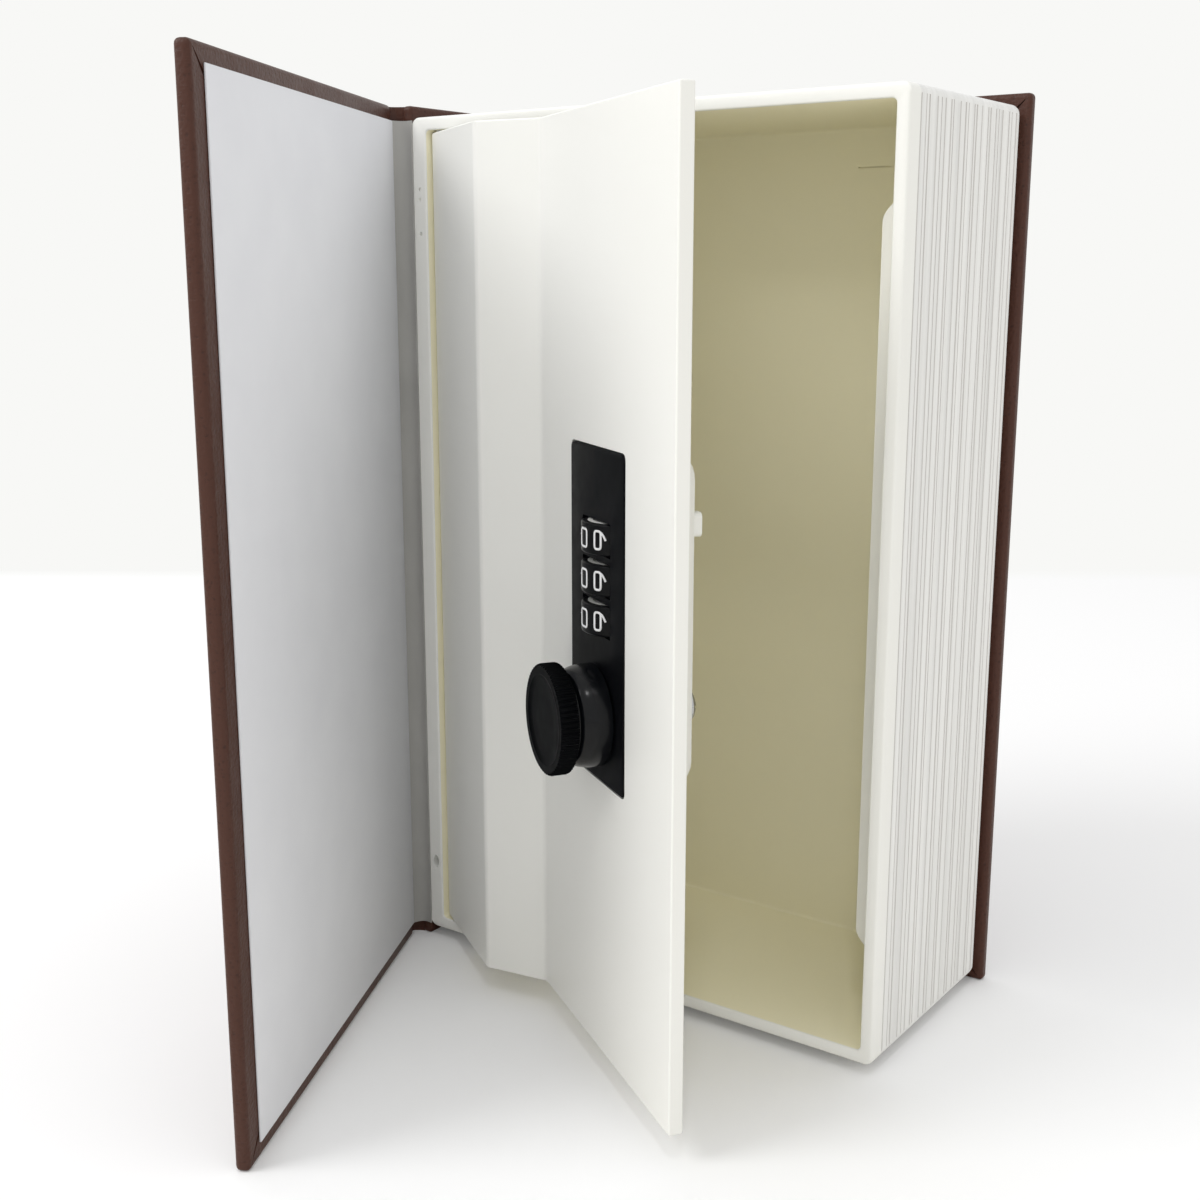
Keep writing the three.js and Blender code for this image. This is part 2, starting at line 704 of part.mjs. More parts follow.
// Chamfered white cover over the back of the lock.
function lockBackCover() {
  const front = doorThickness + 0.2;
  const outer = loft([
    coverRing(0, 0, front), coverRing(0, 0.3, coverBack - backCoverChamfer),
    coverRing(0, backCoverChamfer, coverBack),
  ]);
  const inner = loft([
    coverRing(backCoverWall, 0, front - 1), coverRing(backCoverWall, 0.3, coverBack - backCoverChamfer),
    coverRing(backCoverWall, backCoverChamfer - backCoverWall, coverBack - backCoverWall),
  ]);
  let shell = outer.subtract(inner);
  shell = shell.subtract(barY(0, -knobDrop, coverBack - 3, coverBack + 1, spindleRadius + spindleFit, 24));
  const counterbore = coverBack - screwHeadThickness + 0.4;
  for (const rise of screwRises) {
    for (const side of [-1, 1]) {
      const x = side * screwSpreadX;
      shell = shell
        .subtract(barY(x, rise, coverBack - 3, coverBack + 1, screwRadius + 0.2, 12))
        .subtract(barY(x, rise, counterbore, coverBack + 1, screwHeadRadius + 0.2, 16));
    }
  }
  const halfSlot = leverWidth / 2 + leverSlotGap;
  return shell.subtract(block(
    leverX - halfSlot, leverX + halfSlot, coverBack - 3, coverBack + 1,
    leverRise - leverHeight / 2 - leverSlotGap, leverRise + leverHeight / 2 + leverTravel + leverSlotGap));
}

function coverScrew() {
  const tip = doorThickness + 0.4;
  const headSeat = coverBack - screwHeadThickness + 0.5;
  const cross = block(-1.1, 1.1, coverBack - 0.1, coverBack + 1, -0.2, 0.2)
    .add(block(-0.2, 0.2, coverBack - 0.1, coverBack + 1, -1.1, 1.1));
  return barY(0, 0, tip, headSeat + 0.1, screwRadius, 12)
    .add(barY(0, 0, headSeat, coverBack + 0.4, screwHeadRadius, 16))
    .subtract(cross);
}

// A stub behind the slot, with a foot inside that keeps it in the cover.
function codeLever() {
  const innerFace = coverBack - backCoverWall;
  const halfWidth = leverWidth / 2;
  const low = leverRise - leverHeight / 2;
  const high = leverRise + leverHeight / 2;
  const stub = roundedRectangle(leverX - halfWidth, leverX + halfWidth, low, high, 0.9);
  const foot = block(
    leverX - halfWidth - 0.8, leverX + halfWidth + 0.8, innerFace - 1, innerFace - 0.3,
    low - leverFoot, high + leverFoot);
  return push(stub, innerFace - 0.6, coverBack + leverProud).add(foot);
}

// Knob: ribbed head with a dished face, a straight neck and a domed skirt on the plate.
function knobBody() {
  const back = -plateProud - knobSeat;
  const face = -plateProud - knobReach;
  const headBack = face + knobHeadThickness;
  const core = knobRadius - knobRibDepth;
  const rim = core - knobRimWidth;
  const profile = [
    [0, face + knobDish], [rim - 0.6, face + knobDish], [rim, face], [core - 0.5, face],
    [core, face + 0.5], [core, headBack - 0.5], [core - 0.5, headBack],
    [knobNeckRadius + 0.3, headBack + 0.2], [knobNeckRadius, headBack + 0.7],
  ];
  const shoulder = back - knobSkirtHeight;
  for (const angle of [90, 70, 50, 30, 0]) {
    const inset = (knobSkirtRadius - knobNeckRadius) * (1 - Math.cos(radians(angle)));
    profile.push([knobSkirtRadius - inset, shoulder - knobDomeHeight * Math.sin(radians(angle))]);
  }
  profile.push([knobSkirtRadius, back], [0, back]);
  const ribs = new THREE.Shape(
    Array.from({ length: knobRibCount * 2 }, (_, i) => {
      const angle = (i / (knobRibCount * 2)) * Math.PI * 2;
      const radius = i % 2 ? knobRadius : core - 0.15;
      return new THREE.Vector2(radius * Math.cos(angle), radius * Math.sin(angle));
    }));
  return turned(profile, 32)
    .add(push(ribs, face + 0.6, headBack - 0.6))
    .subtract(barY(0, 0, back - knobBoreDepth, back + 1, spindleRadius + 0.1, 20));
}

const spindleBack = coverBack + camBackGap;

// Spindle with the oval collar that moves the fence and a square end for the cam.
function knobSpindle() {
  const start = -plateProud - knobSeat - knobBoreDepth + 0.2;
  const collar = new THREE.Shape().absellipse(0, 0, collarLong, collarShort, 0, Math.PI * 2);
  return barY(0, 0, start, spindleBack, spindleRadius, 20)
    .add(push(collar, fenceFront, fenceBack, 6))
    .add(block(
      -spindleSquare / 2, spindleSquare / 2, spindleBack - 0.5, spindleBack + camThickness - 0.2,
      -spindleSquare / 2, spindleSquare / 2))
    .subtract(barY(0, 0, spindleBack - 4, spindleBack + 3, 1.3, 12));
}

function spindleClip() {
  const front = baseBack + 0.3;
  const inner = spindleRadius + 0.1;
  return barY(0, 0, front, front + 0.7, spindleRadius + 1.9, 20)
    .subtract(barY(0, 0, front - 1, front + 2, inner, 20))
    .subtract(block(-inner * 0.8, inner * 0.8, front - 1, front + 2, 0, spindleRadius + 3));
}

// The cam is cranked forward at its end so that it draws up close behind the stop flange.
function camLatch() {
  const plate = spindleBack + 0.1;
  const tip = flangeFront + flangeThickness + latchGap - lockY;
  const section = [
    [-camWidth / 2, plate], [camCrankStart, plate], [camCrankEnd, tip], [camReach, tip],
    [camReach, tip + camThickness], [camCrankEnd + camCrankStep, tip + camThickness],
    [camCrankStart + camCrankStep, plate + camThickness], [-camWidth / 2, plate + camThickness],
  ];
  const bar = new THREE.ExtrudeGeometry(polygon(section), { depth: camWidth, bevelEnabled: false });
  bar.translate(0, 0, -camWidth / 2).rotateY(Math.PI / 2);
  const half = camWidth / 2;
  const hole = spindleSquare / 2 + camFit;
  const outline = new THREE.Shape();
  outline.absarc(0, 0, half, 0, Math.PI);
  outline.absarc(0, -camReach + half, half, Math.PI, Math.PI * 2);
  return solid(bar)
    .intersect(push(outline, tip - 1, plate + camThickness + 1, 8))
    .subtract(block(-hole, hole, plate - 1, plate + camThickness + 1, -hole, hole));
}

function camScrew() {
  const seat = spindleBack + 0.1 + camThickness + 0.1;
  const top = seat + camScrewHeight;
  const profile = [
    [0, seat - camScrewDepth], [camScrewShank, seat - camScrewDepth], [camScrewShank, seat],
    [camScrewRadius, seat], [camScrewRadius, top - 0.9], [camScrewRadius - 0.4, top - 0.4],
    [camScrewRadius - 1.2, top], [0, top],
  ];
  return turned(profile, 20).subtract(block(-4, 4, top - 0.6, top + 1, -0.35, 0.35));
}

// Assembly: fixed parts first, then the cover and the door, each turned about its own axis.
const book = new THREE.Group();
book.name = "book_safe";
const blockFrame = new THREE.Group();
blockFrame.position.set(-blockWidth / 2, -(backInner + backOuter) / 2, 0);
book.add(blockFrame);

const insideEnd = openingBottom + doorClearance;
blockFrame.add(
  piece("box_shell", pageBlock(), "plastic"),
  piece("case_wrap", caseWrap(), "leatherette"),
  piece("back_board", boardCore(backJointWidth, foreEdgeX, backInner, backOuter), "board"),
  piece("spine_board", spineCore(), "board"),
  piece("hinge_pin_bottom", hingePin(blockBottom + pinSink, insideEnd + pinReach - 1), "steel"),
  piece("hinge_pin_top", hingePin(doorTop - pinReach + 1, blockTop - pinSink), "steel"),
  piece("joint_cloth", jointCloth(), "leatherette"),
  piece("joint_paper", jointPaper(), "paper"),
);

// A group turned about an upright axis; what is added to its frame keeps closed coordinates.
function swing(parent, x, y, angle) {
  const turn = new THREE.Group();
  turn.position.set(x, y, 0);
  turn.rotation.z = -radians(angle);
  const closed = new THREE.Group();
  closed.position.set(-x, -y, 0);
  turn.add(closed);
  parent.add(turn);
  return closed;
}

const cover = swing(blockFrame, coverAxisX, coverAxisY, coverOpenAngle);
cover.add(
  piece("front_wrap", boardWrap(frontStart, foreEdgeX, frontInner, frontOuter, false), "leatherette"),
  piece("front_board", boardCore(frontStart, foreEdgeX, frontInner, frontOuter), "board"),
  piece("front_endpaper", frontEndpaper(), "paper"),
);

const door = swing(blockFrame, hingeX, hingeY, doorOpenAngle);
door.add(piece("door_panel", doorPanel(), "plastic"));

const lock = new THREE.Group();
lock.position.set(lockX, lockY, lockZ);
door.add(lock);
lock.add(
  piece("lock_faceplate", faceplate(), "black"),
  piece("lock_base", lockBase(), "black"),
  piece("lock_back_cover", lockBackCover(), "plastic"),
  piece("dial_shaft", dialShaft(), "steel"),
  piece("detent_spring", detentSpring(), "steel"),
  piece("locking_fence", lockingFence(), "steel"),
  piece("fence_spring", fenceSpring(), "steel"),
  piece("code_lever", codeLever(), "plastic"),
);

dialRises.forEach((rise, i) => {
  const dial = new THREE.Group();
  dial.position.set(0, dialAxisDepth, rise);
  dial.add(piece(`dial_wheel_${i + 1}`, dialWheel(), "black"));
  dial.add(piece(`code_hub_${i + 1}`, codeHub(), "steel"));
  lock.add(dial);
});

screwRises.forEach((rise, row) => {
  [-1, 1].forEach((side, column) => {
    const screw = piece(`cover_screw_${row * 2 + column + 1}`, coverScrew(), "steel");
    screw.position.set(side * screwSpreadX, 0, rise);
    lock.add(screw);
  });
});

const knobGroup = new THREE.Group();
knobGroup.position.set(0, 0, -knobDrop);
knobGroup.add(
  piece("knob", knobBody(), "black"),
  piece("knob_spindle", knobSpindle(), "steel"),
  piece("spindle_clip", spindleClip(), "steel"),
  piece("cam_latch", camLatch(), "steel"),
  piece("cam_screw", camScrew(), "steel"),
);
lock.add(knobGroup);

export default book;
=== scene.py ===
import json
import math

import bmesh
import bpy
from mathutils import Matrix, Vector


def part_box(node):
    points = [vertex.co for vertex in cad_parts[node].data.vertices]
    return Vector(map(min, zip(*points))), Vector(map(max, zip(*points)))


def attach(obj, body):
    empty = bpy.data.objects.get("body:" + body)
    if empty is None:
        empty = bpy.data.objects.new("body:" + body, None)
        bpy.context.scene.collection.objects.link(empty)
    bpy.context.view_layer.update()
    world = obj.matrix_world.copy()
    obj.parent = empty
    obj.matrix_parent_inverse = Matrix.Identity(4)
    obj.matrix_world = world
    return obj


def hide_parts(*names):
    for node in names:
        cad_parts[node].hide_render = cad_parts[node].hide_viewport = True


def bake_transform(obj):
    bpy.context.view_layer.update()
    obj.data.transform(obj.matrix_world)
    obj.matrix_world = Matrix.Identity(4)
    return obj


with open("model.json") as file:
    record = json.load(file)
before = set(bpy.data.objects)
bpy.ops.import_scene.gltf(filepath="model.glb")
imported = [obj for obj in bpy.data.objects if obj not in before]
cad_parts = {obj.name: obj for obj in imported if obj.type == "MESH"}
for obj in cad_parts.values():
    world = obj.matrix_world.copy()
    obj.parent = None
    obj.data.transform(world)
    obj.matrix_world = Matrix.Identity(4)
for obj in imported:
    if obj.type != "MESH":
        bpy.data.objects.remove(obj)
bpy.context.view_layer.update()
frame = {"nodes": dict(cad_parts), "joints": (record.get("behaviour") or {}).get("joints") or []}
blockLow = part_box("box_shell")[0]
print("frame loaded")


# A point of the closed book in millimetres, measured from the page block's front spine corner on the table.
def at(x, y, z):
    return Vector((blockLow.x + x / 1000, blockLow.y + y / 1000, z / 1000))


def mm(value):
    return value / 1000


touching = 0.00001  # metres within which two places count as one
past = 1  # millimetres by which a cutting tool stands out of what it cuts

jointOf = {joint["name"]: joint for joint in frame["joints"]}


# Selecting and finishing

def clearSelection():
    if bpy.context.mode != "OBJECT":
        bpy.ops.object.mode_set(mode="OBJECT")
    bpy.ops.object.select_all(action="DESELECT")


def take(piece):
    clearSelection()
    piece.select_set(True)
    bpy.context.view_layer.objects.active = piece


def edit(piece):
    take(piece)
    bpy.ops.object.mode_set(mode="EDIT")
    bpy.ops.mesh.select_mode(type="VERT")
    bpy.ops.mesh.select_all(action="DESELECT")


def editAll(piece):
    edit(piece)
    bpy.ops.mesh.select_all(action="SELECT")


def leaveEdit():
    bpy.ops.object.mode_set(mode="OBJECT")


# Picks the edges whose middle and run, or the faces whose middle and normal, pass a test, in edit mode.
def pick(piece, kind, test):
    bpy.ops.mesh.select_mode(type=kind)
    bpy.ops.mesh.select_all(action="DESELECT")
    cage = bmesh.from_edit_mesh(piece.data)
    if kind == "EDGE":
        ends = [(e, e.verts[0].co, e.verts[1].co) for e in cage.edges]
        chosen = [e for e, start, end in ends if test((start + end) / 2, end - start)]
    else:
        chosen = [f for f in cage.faces if test(f.calc_center_median(), f.normal)]
    for part in chosen:
        part.select = True
    cage.select_flush_mode()
    bmesh.update_edit_mesh(piece.data)


# Bevels the edges or corners that are picked in edit mode, widths in millimetres.
def roundPicked(width, segments, affect="EDGES"):
    bpy.ops.mesh.bevel(offset=mm(width), segments=segments, affect=affect)


def extrudePicked(step):
    bpy.ops.mesh.extrude_region_move(TRANSFORM_OT_translate={"value": step})


# The edges that run from front to back.
def pickDeepEdges(piece):
    pick(piece, "EDGE", lambda middle, along: abs(along.y) > 0.9 * along.length)


def settle(piece):
    take(piece)
    bpy.ops.object.transform_apply(location=True, rotation=True, scale=True)


def addCube(name, low, high):
    clearSelection()
    bpy.ops.mesh.primitive_cube_add(size=1, location=(low + high) / 2)
    piece = bpy.context.active_object
    piece.name = name
    piece.scale = high - low
    settle(piece)
    return piece


def addCylinder(name, middle, radius, length, sides, axis):
    clearSelection()
    turn = {"Y": (math.pi / 2, 0, 0), "Z": (0, 0, 0)}[axis]
    bpy.ops.mesh.primitive_cylinder_add(
        vertices=sides, radius=mm(radius), depth=mm(length), location=middle, rotation=turn)
    piece = bpy.context.active_object
    piece.name = name
    settle(piece)
    return piece


# A flat face that looks to the front, its size in millimetres.
def addSheet(name, middle, width, height):
    clearSelection()
    bpy.ops.mesh.primitive_plane_add(size=1, location=middle, rotation=(math.pi / 2, 0, 0))
    piece = bpy.context.active_object
    piece.name = name
    piece.scale = (mm(width), mm(height), 1)
    settle(piece)
    return piece


def modify(piece, kind, **settings):
    take(piece)
    modifier = piece.modifiers.new(kind.lower(), kind)
    for key, value in settings.items():
        setattr(modifier, key, value)
    bpy.ops.object.modifier_apply(modifier=modifier.name)


def combine(piece, tool, operation):
    modify(piece, "BOOLEAN", operation=operation, object=tool, solver="EXACT")
    bpy.data.objects.remove(tool, do_unlink=True)


def softenEdges(piece, width, segments=2, angle=40):
    modify(piece, "BEVEL", width=mm(width), segments=segments, limit_method="ANGLE",
           angle_limit=math.radians(angle), harden_normals=False)


def joinInto(piece, others):
    take(piece)
    for other in others:
        other.select_set(True)
    bpy.ops.object.join()
    return piece


def faceOut(piece):
    editAll(piece)
    bpy.ops.mesh.remove_doubles(threshold=touching)
    bpy.ops.mesh.normals_make_consistent(inside=False)
    leaveEdit()


def smooth(piece, angle=35):
    take(piece)
    bpy.ops.object.shade_smooth_by_angle(angle=math.radians(angle))


# A hinge's place and its turn from the closed book, its lower limit, to where the photograph shows it.
def openingOf(jointName):
    joint = jointOf[jointName]
    return Vector(joint["pos_m"]), Matrix.Rotation(math.radians(joint["range_deg"][0]), 4, "Z")


def swingOpen(piece, jointName):
    pivot, turn = openingOf(jointName)
    piece.data.transform(Matrix.Translation(pivot) @ turn @ Matrix.Translation(-pivot))
    piece.data.update()


# The first material is the one that faces have until others are given them by number.
def coat(piece, *materials):
    for material in materials:
        piece.data.materials.append(material)


# Names a finished piece, says which body it rides on and hides the node that it stands for.
def handOver(piece, name, body, replaced=None):
    piece.name = name
    piece.data.name = name
    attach(piece, body)
    if replaced:
        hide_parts(replaced)


# Materials

def toLinear(hexColour):
    values = [int(hexColour[i:i + 2], 16) / 255 for i in (1, 3, 5)]
    return [v / 12.92 if v <= 0.04045 else ((v + 0.055) / 1.055) ** 2.4 for v in values] + [1]


def addNode(tree, kind, settings=None, values=None, links=None):
    node = tree.nodes.new(kind)
    for key, value in (settings or {}).items():
        setattr(node, key, value)
    for key, value in (values or {}).items():
        node.inputs[key].default_value = value
    for key, source in (links or {}).items():
        tree.links.new(source, node.inputs[key])
    return node


def startMaterial(name, values):
    material = bpy.data.materials.new(name)
    material.use_nodes = True
    tree = material.node_tree
    tree.nodes.clear()
    shader = addNode(tree, "ShaderNodeBsdfPrincipled", values=values)
    addNode(tree, "ShaderNodeOutputMaterial", links={"Surface": shader.outputs["BSDF"]})
    place = addNode(tree, "ShaderNodeTexCoord").outputs["Object"]
    return material, tree, shader, place


# Noise with features of the given size in millimetres, one size for each axis if three are given.
def grain(tree, place, size, detail=2, roughness=0.5):
    sizes = size if isinstance(size, tuple) else (size, size, size)
    spread = addNode(tree, "ShaderNodeMapping", links={"Vector": place},
                     values={"Scale": [1000 / s for s in sizes]})
    return addNode(tree, "ShaderNodeTexNoise", links={"Vector": spread.outputs["Vector"]},
                   values={"Scale": 1, "Detail": detail, "Roughness": roughness}).outputs["Fac"]


# Noise keeps near its middle, so its usual span is stretched to the whole of a range.
def stretch(tree, pattern, low, high):
    return addNode(tree, "ShaderNodeMapRange", links={"Value": pattern},
                   values={"From Min": 0.3, "From Max": 0.7, "To Min": low, "To Max": high}).outputs["Result"]


def paint(tree, shader, pattern, shade, light):
    mix = addNode(tree, "ShaderNodeMix", settings={"data_type": "RGBA"}, links={"Factor": pattern},
                  values={6: toLinear(shade), 7: toLinear(light)})
    tree.links.new(mix.outputs[2], shader.inputs["Base Color"])


def polish(tree, shader, pattern, roughness, spread):
    tree.links.new(stretch(tree, pattern, roughness - spread, roughness + spread), shader.inputs["Roughness"])


def emboss(tree, shader, pattern, height, strength):
    relief = addNode(tree, "ShaderNodeBump", values={"Strength": strength, "Distance": mm(height)},
                     links={"Height": pattern})
    tree.links.new(relief.outputs["Normal"], shader.inputs["Normal"])


# White ABS from a polished mould: soft gloss, hardly any texture.
def makeMouldedAbs(name, light, shade, roughness):
    spec = {"clouds": 45, "wear": 14, "spread": 0.02, "peel": 3.2, "relief": 0.004}
    material, tree, shader, place = startMaterial(name, {"IOR": 1.5, "Specular IOR Level": 0.35})
    paint(tree, shader, grain(tree, place, spec["clouds"]), shade, light)
    polish(tree, shader, grain(tree, place, spec["wear"]), roughness, spec["spread"])
    emboss(tree, shader, grain(tree, place, spec["peel"], 1), spec["relief"], 0.4)
    return material


# The same ABS where the mould was scored like gathered pages: fine scores between the deep ones. Real sheets
# are 0.1 mm thick; the scores are drawn five times as coarse, so that they show.
def makePageLines():
    spec = {"run": 140, "sheets": 1.7, "scores": 0.5, "shade": "#e3e3e1", "light": "#f1f1ef", "relief": 0.06}
    material, tree, shader, place = startMaterial("scoredWhiteAbs", {"IOR": 1.5, "Roughness": 0.5})
    sheets = grain(tree, place, (spec["run"], spec["sheets"], spec["run"]), 3, 0.6)
    scores = grain(tree, place, (spec["run"], spec["scores"], spec["run"]), 1)
    both = addNode(tree, "ShaderNodeMath", settings={"operation": "ADD"}, links={0: sheets, 1: scores})
    paint(tree, shader, stretch(tree, sheets, 0, 1), spec["shade"], spec["light"])
    emboss(tree, shader, both.outputs[0], spec["relief"], 0.6)
    return material


# Embossed leatherette: PVC film pressed with short creases; darker in the creases, paler on their ridges.
def makeLeatherette():
    spec = {"pebble": 0.8, "pebbleShare": 0.5, "creaseWidth": 0.4, "creaseLength": 1.8, "bendSize": 2.2,
            "bend": 0.9, "patch": 7, "roughness": 0.44, "spread": 0.04, "crease": "#220e09",
            "ridge": "#47281d", "relief": 0.16}
    material, tree, shader, place = startMaterial(
        "embossedLeatherette", {"IOR": 1.38, "Specular IOR Level": 0.45})
    bent = addNode(tree, "ShaderNodeVectorMath", settings={"operation": "MULTIPLY_ADD"},
                   links={0: grain(tree, place, spec["bendSize"]), 2: place},
                   values={1: [mm(spec["bend"])] * 3}).outputs["Vector"]
    pebbles = addNode(tree, "ShaderNodeTexVoronoi", links={"Vector": bent},
                      values={"Scale": 1000 / spec["pebble"]}).outputs["Distance"]
    width, length = spec["creaseWidth"], spec["creaseLength"]
    upright = grain(tree, bent, (width, width, length), 3, 0.6)
    level = grain(tree, bent, (length, length, width), 3, 0.6)
    creases = addNode(tree, "ShaderNodeMath", settings={"operation": "MAXIMUM"},
                      links={0: upright, 1: level}).outputs[0]
    height = addNode(tree, "ShaderNodeMath", settings={"operation": "MULTIPLY_ADD"},
                     links={0: pebbles, 2: creases}, values={1: spec["pebbleShare"]}).outputs[0]
    paint(tree, shader, stretch(tree, height, 0, 1), spec["crease"], spec["ridge"])
    polish(tree, shader, grain(tree, place, spec["patch"]), spec["roughness"], spec["spread"])
    emboss(tree, shader, height, spec["relief"], 0.75)
    return material


# Uncoated endpaper: matte, cool white, with a trace of fibre.
def makeEndpaper(name, shade, light):
    spec = {"fibre": 0.8, "cloud": 12, "relief": 0.006}
    material, tree, shader, place = startMaterial(
        name, {"Roughness": 0.85, "IOR": 1.45, "Specular IOR Level": 0.3})
    paint(tree, shader, grain(tree, place, spec["cloud"], 5), shade, light)
    emboss(tree, shader, grain(tree, place, spec["fibre"], 3), spec["relief"], 0.5)
    return material


# Grey binder's board: pressed waste paper with darker flecks.
def makeBinderBoard():
    spec = {"fleck": 1.5, "fibre": 0.6, "shade": "#8f8676", "light": "#b3aa99", "relief": 0.03}
    material, tree, shader, place = startMaterial("binderBoard", {"Roughness": 0.92})
    paint(tree, shader, grain(tree, place, spec["fleck"], 4), spec["shade"], spec["light"])
    emboss(tree, shader, grain(tree, place, spec["fibre"]), spec["relief"], 0.5)
    return material


# Black moulded and lacquered parts: even black, with as much gloss as the level gives them.
def makeBlack(name, light, shade, roughness, gloss):
    spec = {"clouds": 6, "wear": 2.5, "spread": 0.03, "peel": 0.9, "relief": 0.004}
    material, tree, shader, place = startMaterial(name, {"IOR": 1.5, "Specular IOR Level": gloss})
    paint(tree, shader, grain(tree, place, spec["clouds"]), shade, light)
    polish(tree, shader, grain(tree, place, spec["wear"]), roughness, spec["spread"])
    emboss(tree, shader, grain(tree, place, spec["peel"]), spec["relief"], 0.4)
    return material


# Pad-printed ink in the digits: flat, off-white.
def makeDigitInk():
    spec = {"mottle": 0.6, "shade": "#eceef0", "light": "#ffffff"}
    material, tree, shader, place = startMaterial("padPrintedInk", {"Roughness": 0.5})
    paint(tree, shader, grain(tree, place, spec["mottle"]), spec["shade"], spec["light"])
    return material


# Zinc-plated steel: bright grey with fine drawing marks.
def makePlatedSteel():
    spec = {"marks": (6, 6, 0.25), "shade": "#a9abad", "light": "#c9cbcc", "roughness": 0.31, "spread": 0.07,
            "relief": 0.004}
    material, tree, shader, place = startMaterial("zincPlatedSteel", {"Metallic": 1})
    marks = grain(tree, place, spec["marks"], 3)
    paint(tree, shader, marks, spec["shade"], spec["light"])
    polish(tree, shader, marks, spec["roughness"], spec["spread"])
    emboss(tree, shader, marks, spec["relief"], 0.4)
    return material


whiteAbs = makeMouldedAbs("mouldedWhiteAbs", "#f3f3ef", "#f0f0eb", 0.34)
# A darker copy of the white ABS: painted shade for the bottoms of the pressed page lines.
grooveShadeAbs = makeMouldedAbs("groovePaintedShadeAbs", "#d4d2cf", "#cac8c5", 0.6)
# An ivory copy of the white ABS: painted warm shade for the inside of the hollow, where the light bounces
# round the walls.
hollowShadeAbs = makeMouldedAbs("hollowPaintedShadeAbs", "#fcf7dc", "#faf4d4", 0.4)
pageLines = makePageLines()
leatherette = makeLeatherette()
endpaper = makeEndpaper("uncoatedEndpaper", "#dedfe4", "#e6e7eb")
binderBoard = makeBinderBoard()
# A grey copy of the endpaper: painted shade for the paper in the valley of the joint.
jointShadePaper = makeEndpaper("jointPaintedShadeEndpaper", "#a09f9c", "#aeadaa")
plateBlack = makeBlack("satinBlackZinc", "#0b0c0f", "#08090c", 0.42, 0.05)
knobBlack = makeBlack("satinBlackAbs", "#08090b", "#060709", 0.34, 0.03)
collarBlack = makeBlack("glossBlackAbs", "#0a0c10", "#08090c", 0.2, 0.22)
dialBlack = makeBlack("mouldedBlackDial", "#0c0d0f", "#090a0c", 0.3, 0.12)
chassisBlack = makeBlack("mouldedBlackAbs", "#1d1e21", "#16171a", 0.5, 0.4)
digitInk = makeDigitInk()
platedSteel = makePlatedSteel()
print("materials made")


# Page block: one outline grown backwards ring by ring; the page lines are grooves pressed into its sides.

blockSpec = {
    "width": 108.5, "depth": 50, "bottom": 2.4, "height": 174, "corner": 1.6,
    "rimRadius": 0.9, "backRadius": 3, "plainRim": 3.2,
    "lines": 22, "lineDepth": 0.5, "lineWidth": 0.55, "lineStart": 1.2, "lineRise": 1, "lineMargin": 0.5,
    "stile": 3.6, "foreEdgeWall": 2.5, "endWall": 2.6, "backWall": 2.6,
    "cavityCorner": 0.9, "cavityBack": 0.7, "mouth": 0.35,
    "vents": ((1.9, 162.4, 0.38, 0.4), (1.9, 160.4, 0.38, 0.35), (2, 153.6, 0.36, 0.45)),
    "slotX": 2, "slotZ": 18, "slotHalfWidth": 0.75, "slotHalfHeight": 1.5, "slotDepth": 2.4,
    "scratchStart": 76, "scratchEnd": 83, "scratchZ": 166.3, "scratchHalf": 0.13, "scratchDepth": 0.4,
    "lipWidth": 8, "lipFront": 13.2, "lipThickness": 2.6, "lipBottom": 10.5, "lipTop": 162, "lipSweep": 9.6,
    "lipRound": 0.4, "lipSteps": 12, "lipHair": 0.02, "lipFoot": 0.05,
}
rimCurve = ((0, 0.6), (0.12, 0.32), (0.4, 0.1), (1, 0))  # depth and inset of the rim's round, in its radius


# Each page line as its place, depth and width; they sway unevenly, as gathered pages do.
def lineRows():
    spec = blockSpec
    span = spec["depth"] - spec["backRadius"] - spec["plainRim"]

    def sway(share, pace):
        return share * math.sin(i * pace)

    rows = []
    for i in range(spec["lines"]):
        wander = sway(0.32, 2.4) + sway(0.2, 5.1)
        rows.append((spec["plainRim"] + span * (i + 0.5 + wander * 0.8) / spec["lines"],
                     spec["lineDepth"] * (0.7 + sway(0.3, 3.7)),
                     spec["lineWidth"] * (0.8 + sway(0.25, 4.3))))
    return rows


def blockRings():
    spec = blockSpec
    rings = [(spec["rimRadius"] * y, spec["rimRadius"] * inset) for y, inset in rimCurve]
    for y, depth, width in lineRows():
        rings += [(y - width / 2, 0), (y, 0), (y + width / 2, 0)]
    for angle in range(0, 91, 15):
        turn = math.radians(angle)
        rings.append((spec["depth"] - spec["backRadius"] * (1 - math.sin(turn)),
                      spec["backRadius"] * (1 - math.cos(turn))))
    return rings


def growBlock():
    spec = blockSpec
    middleZ = spec["bottom"] + spec["height"] / 2
    rings = blockRings()
    piece = addSheet("block", at(spec["width"] / 2, rings[0][0], middleZ), spec["width"], spec["height"])
    editAll(piece)
    roundPicked(spec["corner"], 5, "VERTICES")
    y, inset = rings[0][0], 0
    for i, (nextY, nextInset) in enumerate(rings):
        if i:
            extrudePicked((0, mm(nextY - y), 0))
        across = (spec["width"] - nextInset) / (spec["width"] - inset)
        upright = (spec["height"] - 2 * nextInset) / (spec["height"] - 2 * inset)
        bpy.ops.transform.resize(value=(across, 1, upright), center_override=at(0, nextY, middleZ))
        y, inset = nextY, nextInset
    leaveEdit()
    faceOut(piece)
    return piece


